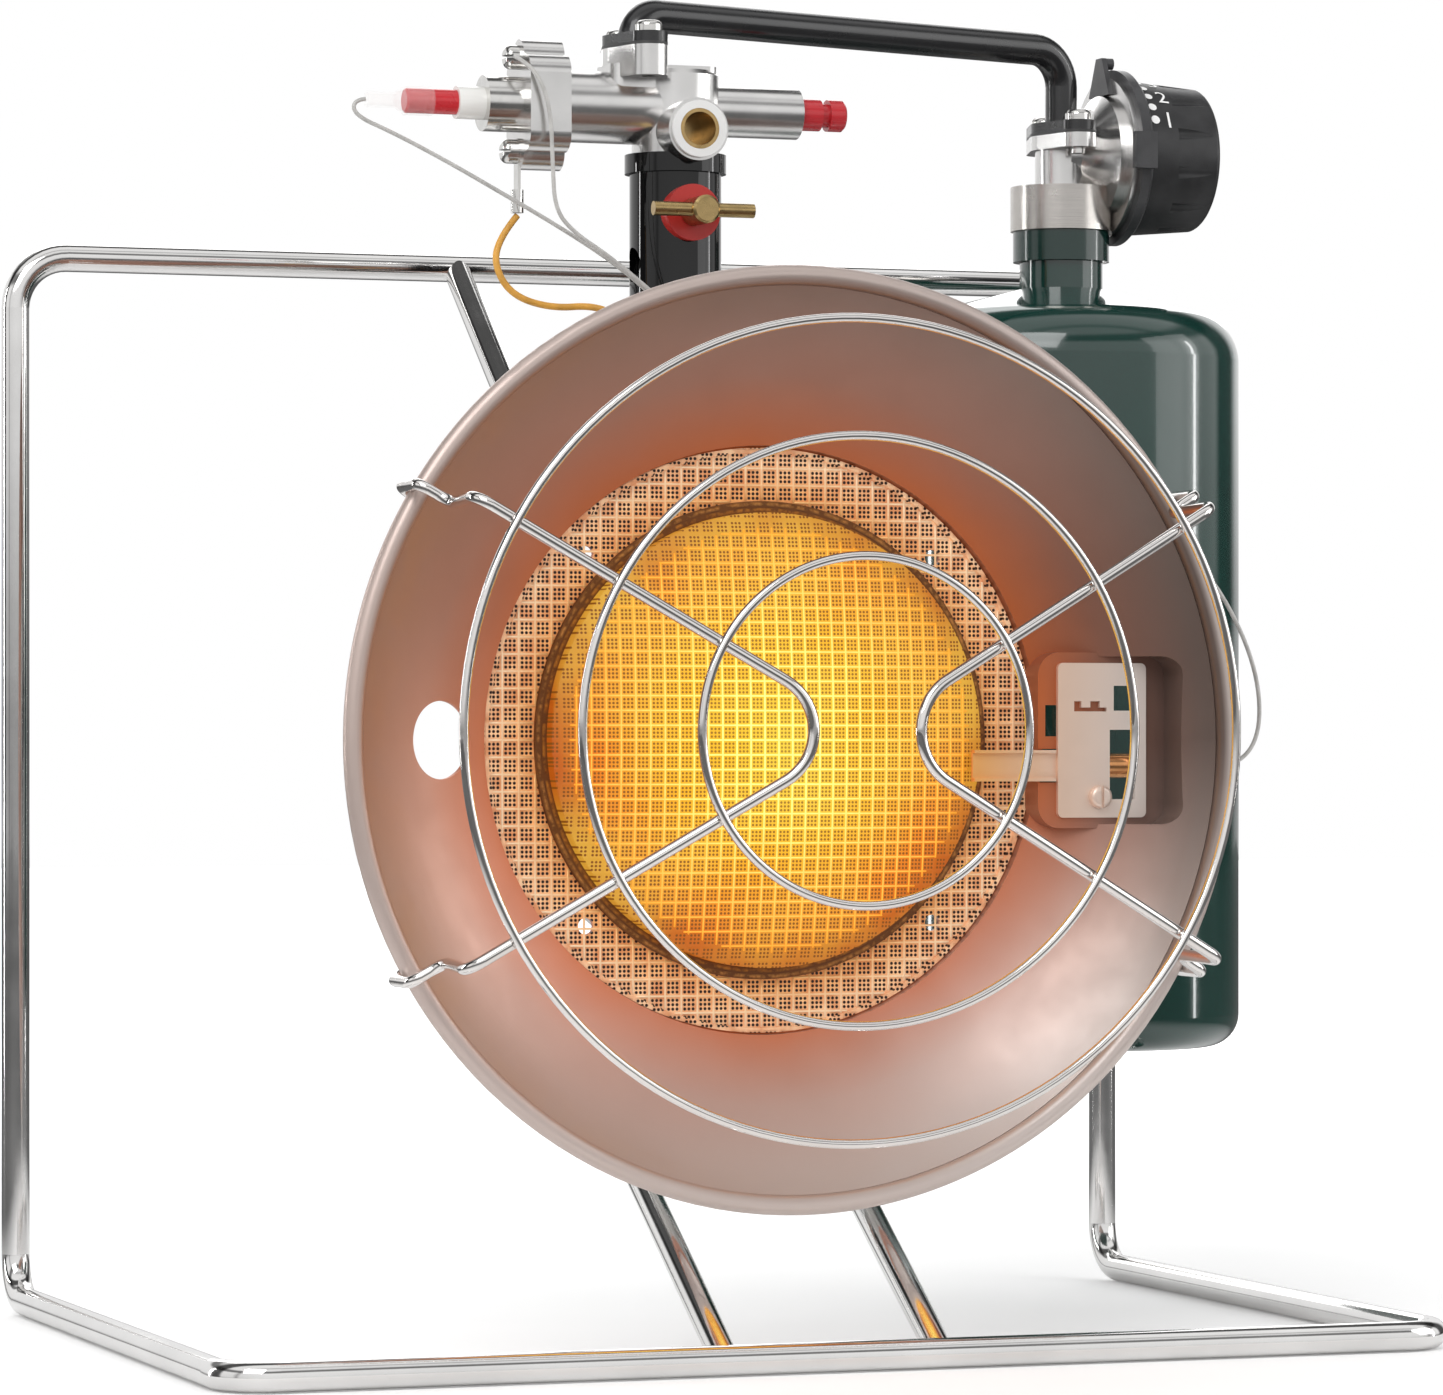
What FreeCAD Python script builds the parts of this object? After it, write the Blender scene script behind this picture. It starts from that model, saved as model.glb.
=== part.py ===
import FreeCAD, Part
import os
from math import asin, cos, hypot, pi, radians, sin, sqrt, tan

# Portable propane heater. Lengths are in millimetres, angles in degrees.
# X runs to the right, Y to the back and Z up. The floor is Z = 0, and the origin lies
# on the floor under the middle of the whole heater.

V = FreeCAD.Vector
RIGHT = V(1, 0, 0)
LEFT = V(-1, 0, 0)
FRONT = V(0, -1, 0)
BACK = V(0, 1, 0)
UP = V(0, 0, 1)
DOWN = V(0, 0, -1)

# Clearances
turn_gap = 0.3
shaft_gap = 0.05
seat_gap = 0.02

# Stand: one closed loop of bright round rod
rod_d = 7.6
stand_width = 320.0
stand_height = 282.5
stand_depth = 223.0
top_bend_r = 14.0
foot_bend_r = 12.0

# Two bent rods that carry the heater head
brace_d = 7.2
brace_spacing = 56.4
brace_top_slope = 38.5
brace_foot_slope = 32.0
brace_bend_r = 18.0

# Heater head: places of its axis and of the burner screen's front face
head_x = -7.0
head_z = 155.0
screen_y = -59.5

# Burner
screen_d = 148.0
screen_t = 1.0
screen_hole_d = 4.2
screen_hole_pcd = 132.0
cup_d = 121.0
cup_wall = 1.2
cup_depth = 27.5
cup_corner_r = 8.0
dome_inset = 3.0
dome_height = 13.0
dome_wall_height = 6.0
dome_t = 0.8
dome_ring_width = 3.0
dome_ring_t = 1.5
bracket_t = 2.0
bracket_margin = 8.0
bracket_height = 84.0
bracket_corner_r = 6.0
bracket_screw_d = 4.0

# Reflector
rim_d = 236.4
rim_bead_d = 5.0
bowl_depth = 29.0
bowl_sheet = 1.0
bowl_throat_depth = 4.5
bowl_sag = 3.0
vent_d = 19.4
vent_r = 87.5

# Pressed pocket on the reflector's right, and the sensor plate in it
pocket_from_axis = 71.5
pocket_width = 36.0
pocket_height = 45.0
pocket_corner_r = 6.0
pocket_floor_forward = 10.5
plate_left = 76.5
plate_width = 24.5
plate_height = 39.6
plate_t = 1.2
plate_screw_from_left = 11.5
plate_screw_drop = 14.5
plate_screw_d = 3.5
window_x = (15.5, 21.0)
window_z = (7.6, 14.0)
lower_window_x = (14.4, 21.4)
lower_window_z = (-15.1, 2.7)
strip_length = 27.0
strip_width = 8.0
strip_t = 1.0
strip_drop = 6.5
strip_hold = 4.0
pocket_wall_clearance = 1.8
sensor_d = 6.4
sensor_length = 20.0

# Guard of welded round wire
guard_ring_wire_d = 2.3
guard_wire_d = 3.0
guard_lift = 2.2
guard_ring_r = (42.3, 71.5, 100.2)
guard_arm_angle = 30.2
guard_apex_r = 14.0
guard_apex_forward = 48.0
guard_arm_fall = 0.102
guard_jog_start_in = 7.5
guard_jog_end_in = 9.5
guard_hook_front = 11.0
guard_hook_back = 5.0
guard_hook_return = 4.5
guard_jog_bend_r = 4.5
guard_hook_bend_r = 3.0

# Mixer tube
tube_d = 24.2
tube_wall = 1.2
tube_y = 6.6
tube_top_rise = 154.0
tube_bend_r = 22.0
tube_collar_height = 5.0
tube_collar_wall = 1.3
air_hole_d = 9.0
air_hole_drop = 29.0
jet_d = 8.0
jet_length = 14.0
jet_bore_d = 1.2
jet_hex = 11.0

# Safety valve above the mixer tube
valve_rise = 12.0
barrel_d = 18.8
barrel_left = -39.2
nose_d = 13.3
nose_right = 26.9
block_d = 23.0
block_rise = 10.0
end_flange_t = 8.5
end_flange_height = 33.4
end_flange_width = 21.0
end_screw_pitch = 24.6
cap_t = 2.6
terminal_t = 0.8
terminal_length = 12.0
inlet_boss_x = -18.5
inlet_boss_rise = 15.4
port_drop = 6.6
port_boss_d = 16.4
port_reach = 18.5
port_ring_d = 14.8
port_ring_t = 1.2
port_insert_d = 10.6
port_bore_d = 8.7
port_bore_depth = 10.0

# Push button with its return spring
button_d = 8.4
button_reach = 13.2
button_neck_d = 6.2
button_neck_length = 2.2
button_head_length = 4.6
button_travel = 5.0
button_bore_depth = 24.0
button_stem_d = 2.4
spring_wire_d = 0.7
spring_mean_d = 5.6
spring_turns = 4

# Igniter end of the valve
collar_d = 14.6
collar_length = 11.5
ceramic_d = 8.6
ceramic_length = 11.2
boot_d = 6.5
boot_length = 14.0
sleeve_d = 7.8
sleeve_length = 9.8
sleeve_neck_d = 4.4
sleeve_neck_length = 7.8
sleeve_cone_length = 2.4
sleeve_wall = 0.6

# Wing screw and washer on the mixer tube
wing_drop = 16.0
washer_d = 14.8
washer_t = 2.6
wing_hub_d = 7.4
wing_hub_length = 10.5
wing_hub_share = 0.7
wing_span = 27.6
wing_rod_d = 3.7
wing_shank_d = 4.0

# Gas pipe and its two oval flanges
pipe_d = 8.8
pipe_wall = 1.0
pipe_rise = 9.4
pipe_left_bend_r = 7.0
pipe_right_bend_r = 10.0
flange_pitch = 24.0
flange_width = 17.0
flange_end_d = 10.0
flange_t = 2.7
gasket_t = 0.8
flange_screw_d = 4.0
flange_screw_head_d = 7.2
flange_screw_head_t = 3.0

# Regulator on the gas cylinder
cylinder_x = 120.3
cylinder_y = 47.6
regulator_seat_drop = 23.8
regulator_drop = 5.3
seat_flange_t = 3.9
column_d = 14.4
inlet_collar_d = 28.0
column_height = 14.0
inlet_collar_height = 12.2
bell_start_d = 15.0
bell_flange_d = 44.0
bell_reach = 12.7
bell_flange_t = 1.6
bezel_d = 48.6
bezel_t = 3.6
knob_d = 43.0
knob_end_d = 39.0
knob_length = 21.8
knob_wall = 2.4
knob_grip_count = 12
knob_grip_r = 2.2
knob_grip_start = 8.5
knob_shaft_d = 6.0
tab_height = 9.5
tab_ball_d = 3.2
tab_ball_drop = 5.4
tab_width = 7.0

# Gas cylinder
cylinder_d = 98.0
cylinder_height = 209.0
cylinder_shoulder_drop = 20.0
cylinder_wall = 0.9
cylinder_foot_r = 9.0
neck_d = 23.0
neck_height = 7.5
neck_ring_d = 26.6
neck_ring_height = 8.2
thread_d = 25.0
thread_length = 9.0
cylinder_valve_d = 18.0
seal_t = 1.6

# Leads
thin_lead_d = 1.1
earth_lead_d = 1.8

# Worked out from the sizes above
foot_z = rod_d / 2
top_z = foot_z + stand_height
back_y = stand_depth / 2
front_y = -stand_depth / 2
dome_d = cup_d - 2 * dome_inset
screen_back_y = screen_y + screen_t
flange_back_y = screen_back_y + bowl_sheet
cup_back_y = flange_back_y + cup_depth
bracket_back_y = cup_back_y + bracket_t
brace_y = bracket_back_y + brace_d / 2
rim_y = screen_y - bowl_depth
pocket_floor_y = screen_y - pocket_floor_forward
pocket_x = head_x + pocket_from_axis
plate_x = head_x + plate_left
plate_front_y = pocket_floor_y - plate_t
plate_screw_x = plate_x + plate_screw_from_left
plate_screw_z = head_z - plate_screw_drop
guard_z = head_z + guard_lift
guard_seat_r = rim_d / 2 + guard_wire_d / 2 + seat_gap
tube_front_y = tube_y - tube_d / 2
tube_top_z = head_z + tube_top_rise
air_hole_z = tube_top_z - air_hole_drop
wing_z = tube_top_z - wing_drop
valve_z = tube_top_z + valve_rise
block_top_z = valve_z + block_rise
inlet_boss_top_z = valve_z + inlet_boss_rise
pipe_z = inlet_boss_top_z + pipe_rise
regulator_seat_z = pipe_z - regulator_seat_drop
regulator_z = regulator_seat_z - regulator_drop
end_flange_x = barrel_left - end_flange_t
cap_x = end_flange_x - cap_t
port_front_y = tube_y - port_reach
button_bore_end_x = nose_right - button_bore_depth
button_skirt_length = button_travel + 4.0
bell_flange_x = cylinder_x + bell_reach
bezel_x = bell_flange_x + bell_flange_t
knob_x = bezel_x + bezel_t + turn_gap
knob_end_x = knob_x + knob_length
collar_top_z = regulator_seat_z - column_height
inlet_collar_z = collar_top_z - inlet_collar_height
neck_ring_z = inlet_collar_z - turn_gap - neck_ring_height
cylinder_shoulder_z = neck_ring_z - neck_height
cylinder_bottom_z = cylinder_shoulder_z - cylinder_height

# The middle of the whole heater's footprint, which becomes the origin
left_edge = -(stand_width + rod_d) / 2
right_edge = max((stand_width + rod_d) / 2, knob_end_x, cylinder_x + cylinder_d / 2)
footprint_x = (left_edge + right_edge) / 2


def save(name, shape):
    """Writes one sub-part, moved so that the origin is under the middle of the heater."""
    moved = shape.copy()
    moved.translate(V(-footprint_x, -footprint_y, 0))
    moved.exportStep("parts/" + name + ".step")


def rod_between(start, direction, diameter, length):
    return Part.makeCylinder(diameter / 2, length, start, direction)


def pipe_between(start, direction, outer, inner, length):
    whole = Part.makeCylinder(outer / 2, length, start, direction)
    return whole.cut(Part.makeCylinder(inner / 2, length, start, direction))


def fuse(shapes):
    whole = shapes[0].multiFuse(shapes[1:])
    return whole.removeSplitter()


def group(shapes):
    return Part.makeCompound(shapes)


def rounded_path(points, radii):
    """Straight runs joined by tangent arcs at the inner points."""
    edges = []
    start = points[0]
    for before, corner, after, radius in zip(points, points[1:], points[2:], radii):
        toward = (before - corner).normalize()
        away = (after - corner).normalize()
        half = toward.getAngle(away) / 2
        leg = radius / tan(half)
        first = corner + toward * leg
        last = corner + away * leg
        middle = corner + (toward + away).normalize() * (radius / sin(half) - radius)
        if (first - start).Length > 1e-6:
            edges.append(Part.LineSegment(start, first).toShape())
        edges.append(Part.Arc(first, middle, last).toShape())
        start = last
    edges.append(Part.LineSegment(start, points[-1]).toShape())
    return Part.Wire(edges)


def sweep(path, diameter):
    """A round bar of one diameter along a path."""
    first = path.Edges[0]
    start = first.valueAt(first.FirstParameter)
    heading = first.tangentAt(first.FirstParameter)
    ring = Part.Wire(Part.makeCircle(diameter / 2, start, heading))
    return path.makePipeShell([ring], True, False)


def revolve(points, origin, axis, across):
    """Turns an outline of (radius, distance along the axis) pairs right round the axis.

    A point may be a three-item tuple, whose last item is True where it is the middle of an arc."""
    placed = [origin + across * p[0] + axis * p[1] for p in points]
    arcs = [len(p) > 2 for p in points]
    edges = []
    count = len(points)
    i = 0
    while i < count:
        if arcs[(i + 1) % count]:
            edges.append(Part.Arc(placed[i], placed[(i + 1) % count], placed[(i + 2) % count]).toShape())
            i += 2
        else:
            edges.append(Part.LineSegment(placed[i], placed[(i + 1) % count]).toShape())
            i += 1
    face = Part.Face(Part.Wire(edges))
    return face.revolve(origin, axis, 360)


def slab(x0, x1, y0, y1, z0, z1):
    return Part.makeBox(x1 - x0, y1 - y0, z1 - z0, V(x0, y0, z0))


def rounded_slab(x0, x1, y0, y1, z0, z1, radius, along):
    """A box whose four edges along one axis are rounded."""
    box = slab(x0, x1, y0, y1, z0, z1)
    edges = [e for e in box.Edges if abs(e.tangentAt(e.FirstParameter).dot(along)) > 0.9]
    return box.makeFillet(radius, edges)


def hexagon(centre, axis, across, flats, length):
    """A hexagonal bar with its first corner toward across."""
    side = axis.cross(across)
    r = flats / sqrt(3)
    angles = [radians(60 * k) for k in range(7)]
    corners = [centre + across * (r * cos(a)) + side * (r * sin(a)) for a in angles]
    return Part.Face(Part.makePolygon(corners)).extrude(axis * length)


def oval_plate(centre, bottom_z, thickness, margin=0):
    """A plate with two screw eyes along Y and a round middle, lying flat."""
    base = V(centre.x, centre.y, bottom_z)
    middle = rod_between(base, UP, flange_width + 2 * margin, thickness)
    outline = [middle]
    for side in (1, -1):
        eye = base + BACK * (side * flange_pitch / 2)
        outline.append(rod_between(eye, UP, flange_end_d + 2 * margin, thickness))
        outline.append(oval_web(base, eye, thickness, margin))
    return fuse(outline)


def oval_web(base, eye, thickness, margin):
    """The tapering web between a plate's round middle and one of its eyes."""
    big = flange_width / 2 + margin
    small = flange_end_d / 2 + margin
    reach = (eye - base).Length
    toward = (eye - base).normalize()
    side = toward.cross(UP)
    lean = (big - small) / reach
    flat = sqrt(1 - lean * lean)
    corners = [
        base + toward * (big * lean) + side * (big * flat),
        eye + toward * (small * lean) + side * (small * flat),
        eye + toward * (small * lean) - side * (small * flat),
        base + toward * (big * lean) - side * (big * flat),
    ]
    return Part.Face(Part.makePolygon(corners + corners[:1])).extrude(UP * thickness)


def flange_screw_points(centre, z):
    offset = BACK * (flange_pitch / 2)
    base = V(centre.x, centre.y, z)
    return [base + offset, base - offset]


def pan_screw(seat, axis, shank_d, shank_length, head_d, head_t):
    """A pan-head screw with a slot. The axis points from the seat out through the head."""
    across = V(axis.z, axis.x, axis.y)
    head = revolve(
        [(0, 0), (head_d / 2, 0), (head_d / 2, head_t * 0.55), (head_d * 0.44, head_t * 0.85, True),
         (head_d * 0.3, head_t), (0, head_t)],
        seat, axis, across)
    shank = rod_between(seat, axis * -1, shank_d, shank_length)
    side = axis.cross(across)
    corner = seat + axis * (head_t * 0.6) - across * (head_d * 0.5) - side * (head_d * 0.07)
    face = Part.Face(Part.makePolygon([
        corner, corner + across * head_d, corner + across * head_d + side * (head_d * 0.14),
        corner + side * (head_d * 0.14), corner]))
    slot = face.extrude(axis * head_t)
    return head.fuse(shank).cut(slot)


def biarc_edges(p0, t0, p1, t1):
    """Two arcs that leave p0 along t0 and reach p1 along t1, with equal end tangents."""
    chord = p1 - p0
    tangents = t0 + t1
    a = 2 * (1 - t0.dot(t1))
    b = 2 * chord.dot(tangents)
    c = -chord.dot(chord)
    d = -c / b if abs(a) < 1e-9 else (-b + sqrt(b * b - 4 * a * c)) / (2 * a)
    joint = (p0 + t0 * d + p1 - t1 * d) * 0.5
    return [arc_from(p0, t0, joint), arc_from(joint, (p1 - t1 * d - joint).normalize(), p1)]


def arc_from(start, heading, end):
    """The arc from start to end that leaves start along heading."""
    chord = end - start
    normal = heading.cross(chord).cross(heading).normalize()
    radius = chord.dot(chord) / (2 * chord.dot(normal))
    centre = start + normal * radius
    outward = ((start + end) * 0.5 - centre).normalize()
    return Part.Arc(start, centre + outward * abs(radius), end).toShape()


def helix_point(centre, radius, pitch, turn):
    """A point on a helix round an axis along X, and the heading there."""
    angle = 2 * pi * turn
    point = centre + V(pitch * turn, radius * cos(angle), radius * sin(angle))
    heading = V(pitch / (2 * pi), -radius * sin(angle), radius * cos(angle)).normalize()
    return point, heading


def coil(centre, mean_d, wire_d, pitch, turns):
    """A compression spring's wire, a quarter turn at a time."""
    steps = turns * 4
    stations = [helix_point(centre, mean_d / 2, pitch, k / 4) for k in range(steps + 1)]
    edges = []
    for (p0, t0), (p1, t1) in zip(stations, stations[1:]):
        edges += biarc_edges(p0, t0, p1, t1)
    report_coil_gap(edges, wire_d, 8)
    return sweep(Part.Wire(edges), wire_d)


def report_coil_gap(edges, wire_d, per_turn):
    """Prints the least gap between one turn of the wire and the next."""
    middles = [e.valueAt((e.FirstParameter + e.LastParameter) / 2) for e in edges]
    gaps = [
        (middles[i] - middles[j]).Length - wire_d
        for i in range(len(middles))
        for j in range(i + per_turn // 2, len(middles))
    ]
    print("least gap between the spring's turns:", round(min(gaps), 2))


# Stand

def stand_rod():
    """The whole loop: a left half and its mirror image, joined at the middle of both bars."""
    half = stand_width / 2
    points = [V(0, back_y, top_z), V(-half, back_y, top_z), V(-half, back_y, foot_z),
              V(-half, front_y, foot_z), V(0, front_y, foot_z)]
    path = rounded_path(points, [top_bend_r, foot_bend_r, foot_bend_r])
    left = sweep(path, rod_d)
    right = left.mirror(V(0, 0, 0), RIGHT)
    return fuse([left, right])


def brace_rod(x, stand):
    """A rod from the top bar down to the head, straight down behind it, and on to the front bar."""
    upper_z = top_z - (back_y - brace_y) * tan(radians(brace_top_slope))
    lower_z = foot_z + (brace_y - front_y) * tan(radians(brace_foot_slope))
    points = [V(x, back_y, top_z), V(x, brace_y, upper_z), V(x, brace_y, lower_z), V(x, front_y, foot_z)]
    rod = sweep(rounded_path(points, [brace_bend_r, brace_bend_r]), brace_d)
    trimmed = rod.cut(stand)
    return max(trimmed.Solids, key=lambda s: s.Volume)


def head_bracket():
    """The plate that is welded to both braces and screwed to the back of the burner cup."""
    half = brace_spacing / 2 + bracket_margin
    plate = rounded_slab(head_x - half, head_x + half, cup_back_y, bracket_back_y,
                         head_z - bracket_height / 2, head_z + bracket_height / 2, bracket_corner_r, BACK)
    plate = plate.cut(rod_between(V(head_x, cup_back_y - 1, head_z), BACK, tube_d + 1, bracket_t + 2))
    for point in bracket_screw_points():
        plate = plate.cut(rod_between(point, FRONT, bracket_screw_d + 0.2, 2 * bracket_t))
    return plate


def bracket_screw_points():
    return [V(head_x, bracket_back_y, head_z + side * bracket_height * 0.36) for side in (1, -1)]


def bracket_screws():
    length = bracket_t + cup_wall + 2
    return group([pan_screw(p, BACK, bracket_screw_d, length, 7.5, 2.8) for p in bracket_screw_points()])


# Burner

def about_head(y):
    return V(head_x, y, head_z)


def head_revolve(points):
    """Turns (radius, y) points round the head's axis."""
    return revolve(points, about_head(0), BACK, RIGHT)


def burner_cup():
    """A deep drawn pan with a rounded back corner, a hole for the mixer tube and screw holes."""
    r = cup_d / 2
    c = cup_corner_r
    w = cup_wall
    front = flange_back_y
    back = cup_back_y
    bend = 1 - 1 / sqrt(2)
    pan = head_revolve([
        (r - w, front), (r, front), (r, back - c), (r - c * bend, back - c * bend, True), (r - c, back),
        (tube_d / 2 + shaft_gap, back), (tube_d / 2 + shaft_gap, back - w), (r - c, back - w),
        (r - w - (c - w) * bend, back - w - (c - w) * bend, True), (r - w, back - c)])
    for point in bracket_screw_points():
        pan = pan.cut(rod_between(point, FRONT, bracket_screw_d, bracket_t + 2 * cup_wall))
    return pan


def burner_holes(start_y, length):
    """The four corner holes through the screen and the reflector's back flange."""
    offset = screen_hole_pcd / 2 / sqrt(2)
    holes = []
    for sx in (1, -1):
        for sz in (1, -1):
            start = V(head_x + sx * offset, start_y, head_z + sz * offset)
            holes.append(rod_between(start, BACK, screen_hole_d, length))
    return holes


def burner_screen():
    """The thin perforated disc behind the dome, with a raised edge."""
    r = screen_d / 2
    disc = head_revolve([(0, screen_y), (r - 1.2, screen_y), (r - 1.2, screen_y - 1.4), (r, screen_y - 1.4),
                         (r, screen_back_y), (0, screen_back_y)])
    for hole in burner_holes(screen_y - 3, 6):
        disc = disc.cut(hole)
    return disc


def dome_outline(inset):
    """The mesh dome's side and crown as (radius, y) points, from its foot to its middle."""
    r = dome_d / 2 - inset
    wall = screen_y - dome_wall_height + inset
    edge = wall - 1.5
    crown = screen_y - dome_height + inset
    reach = r - 4.0
    rise = edge - crown
    crown_r = (reach ** 2 + rise ** 2) / (2 * rise)
    half = asin(reach / crown_r) / 2
    return [(r, screen_y), (r, wall), (reach, edge),
            (crown_r * sin(half), crown + crown_r * (1 - cos(half)), True), (0, crown)]


def mesh_dome():
    """The mesh dome as a thin shell; its weave is finer than this model goes."""
    outer = dome_outline(0)
    inner = dome_outline(dome_t)
    return head_revolve(outer + inner[::-1])


def dome_ring():
    r = dome_d / 2
    return head_revolve([(r + seat_gap, screen_y), (r + dome_ring_width, screen_y),
                         (r + dome_ring_width, screen_y - dome_ring_t), (r + seat_gap, screen_y - dome_ring_t)])


# Reflector

def bowl_points():
    """Start, middle and end of the bowl's inner curve, as (radius, y)."""
    start = (screen_d / 2 + 0.5, screen_back_y - bowl_throat_depth)
    end = (rim_d / 2 - rim_bead_d, rim_y + 0.8)
    slope = hypot(end[0] - start[0], end[1] - start[1])
    out = ((start[1] - end[1]) / slope, (end[0] - start[0]) / slope)
    middle = ((start[0] + end[0]) / 2 + out[0] * bowl_sag, (start[1] + end[1]) / 2 + out[1] * bowl_sag)
    return start, middle, end


def circle_through(a, b, c):
    """Centre and radius of the circle through three flat points."""
    d = 2 * (a[0] * (b[1] - c[1]) + b[0] * (c[1] - a[1]) + c[0] * (a[1] - b[1]))
    aa, bb, cc = (p[0] ** 2 + p[1] ** 2 for p in (a, b, c))
    x = (aa * (b[1] - c[1]) + bb * (c[1] - a[1]) + cc * (a[1] - b[1])) / d
    y = (aa * (c[0] - b[0]) + bb * (a[0] - c[0]) + cc * (b[0] - a[0])) / d
    return (x, y), hypot(a[0] - x, a[1] - y)


def outside_of(point, centre, radius):
    """A point of the bowl's inner curve moved out by the sheet's thickness."""
    scale = (radius + bowl_sheet) / radius
    return (centre[0] + (point[0] - centre[0]) * scale, centre[1] + (point[1] - centre[1]) * scale)


def bowl_sheet_solid():
    start, middle, end = bowl_points()
    centre, radius = circle_through(start, middle, end)
    o_start, o_middle, o_end = (outside_of(p, centre, radius) for p in (start, middle, end))
    inner_r = cup_d / 2 - cup_wall
    return head_revolve([
        (inner_r, screen_back_y), (start[0], screen_back_y), start, middle + (True,), end,
        o_end, o_middle + (True,), o_start, (start[0] + bowl_sheet, o_start[1]),
        (start[0] + bowl_sheet, flange_back_y), (inner_r, flange_back_y)])


def bowl_space():
    """Everything in front of the bowl's inner surface."""
    start, middle, end = bowl_points()
    far = rim_y - bowl_depth
    return head_revolve([(0, screen_back_y), (start[0], screen_back_y), start, middle + (True,), end,
                         (end[0], far), (0, far)])


def pocket_prism(inset, back):
    half = pocket_height / 2 - inset
    return rounded_slab(pocket_x + inset, pocket_x + pocket_width - inset, rim_y - 20, back,
                        head_z - half, head_z + half, pocket_corner_r - inset, BACK)


def plate_windows(front, back):
    """The openings that go through the sensor plate and the pocket's floor."""
    pairs = [(window_x, window_z), (lower_window_x, lower_window_z)]
    return [slab(plate_x + x[0], plate_x + x[1], front, back, head_z + z[0], head_z + z[1])
            for x, z in pairs]


def pocket_walls(space):
    """The pocket's flat floor and the walls that join it to the bowl, behind it and in front of it."""
    floor_back = pocket_floor_y + bowl_sheet
    outer = pocket_prism(0, screen_y)
    ring = outer.cut(pocket_prism(bowl_sheet, screen_y))
    floor = outer.common(front_half(floor_back)).cut(front_half(pocket_floor_y))
    sunk = ring.common(front_half(floor_back)).cut(space)
    proud = ring.common(space).cut(front_half(pocket_floor_y))
    proud = proud.common(front_half(screen_y - pocket_wall_clearance))
    return [floor, sunk, proud]


def front_half(y):
    """All the space round the pocket that is in front of one plane."""
    return slab(pocket_x - pocket_width, pocket_x + 2 * pocket_width, rim_y - 2 * bowl_depth, y,
                head_z - pocket_height, head_z + pocket_height)


def reflector():
    """Spun bowl with a rolled rim, a vent on the left and a pressed pocket on the right."""
    sheet = bowl_sheet_solid()
    bead = Part.makeTorus(rim_d / 2 - rim_bead_d / 2, rim_bead_d / 2, about_head(rim_y), BACK)
    sheet = sheet.fuse(bead)
    throat = rod_between(about_head(rim_y), BACK, screen_d + 1 + 2 * bowl_sheet, 2 * bowl_depth)
    sheet = sheet.cut(pocket_prism(bowl_sheet, screen_y).cut(throat))
    bowl = fuse([sheet] + pocket_walls(bowl_space()))
    bowl = bowl.cut(vent_cutter())
    cutters = plate_windows(pocket_floor_y - 5, pocket_floor_y + 3) + [pocket_notch(), strip_notch()]
    cutters.append(plate_screw_hole(pocket_floor_y - 2, 8))
    for cutter in cutters + burner_holes(screen_back_y - 1, 4):
        bowl = bowl.cut(cutter)
    return max(bowl.Solids, key=lambda s: s.Volume)


def pocket_notch():
    """The small opening between the burner and the sensor plate."""
    return slab(plate_x - 3.0, plate_x + 2.0, pocket_floor_y - 2, screen_back_y + 2, head_z + 1.0, head_z + 9.0)


def strip_notch():
    """The slot in the pocket's floor that the electrode strip lies in."""
    bottom = head_z - strip_drop - strip_width / 2 - turn_gap
    return slab(pocket_x - 5, plate_x + strip_hold + turn_gap, pocket_floor_y - 2, pocket_floor_y + strip_t + turn_gap,
                bottom, bottom + strip_width + 2 * turn_gap)


def vent_cutter():
    """The round vent, cut square to the sheet on the left."""
    start, middle, end = bowl_points()
    centre, radius = circle_through(start, middle, end)
    y = centre[1] + sqrt(radius ** 2 - (vent_r - centre[0]) ** 2)
    normal = V(-(vent_r - centre[0]), y - centre[1], 0).normalize()
    point = V(head_x - vent_r, y, head_z)
    return rod_between(point - normal * 6, normal, vent_d, 14)


# Sensor plate in the pocket

def plate_screw_hole(start_y, length):
    return rod_between(V(plate_screw_x, start_y, plate_screw_z), BACK, plate_screw_d + 0.3, length)


def sensor_plate():
    half = plate_height / 2
    plate = rounded_slab(plate_x, plate_x + plate_width, plate_front_y, pocket_floor_y,
                         head_z - half, head_z + half, 1.5, BACK)
    for cutter in plate_windows(plate_front_y - 1, pocket_floor_y + 1):
        plate = plate.cut(cutter)
    for x0, x1, z0, z1 in ((4.5, 6.5, 7.4, 10.0), (6.5, 13.5, 7.4, 8.4), (9.0, 11.6, 8.4, 10.0)):
        plate = plate.cut(slab(plate_x + x0, plate_x + x1, plate_front_y - 1, pocket_floor_y + 1,
                               head_z + z0, head_z + z1))
    return plate.cut(plate_screw_hole(plate_front_y - 1, plate_t + 2))


def sensor_plate_screw():
    """The screw and the nut that hold the plate to the pocket's floor."""
    seat = V(plate_screw_x, plate_front_y, plate_screw_z)
    nut_y = pocket_floor_y + bowl_sheet
    screw = pan_screw(seat, FRONT, plate_screw_d, nut_y + 3.6 - plate_front_y, 6.0, 2.2)
    nut = hexagon(V(plate_screw_x, nut_y, plate_screw_z), BACK, RIGHT, 6.0, 2.4)
    nut = nut.cut(rod_between(V(plate_screw_x, nut_y, plate_screw_z), BACK, plate_screw_d, 2.4))
    return group([screw, nut])


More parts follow.
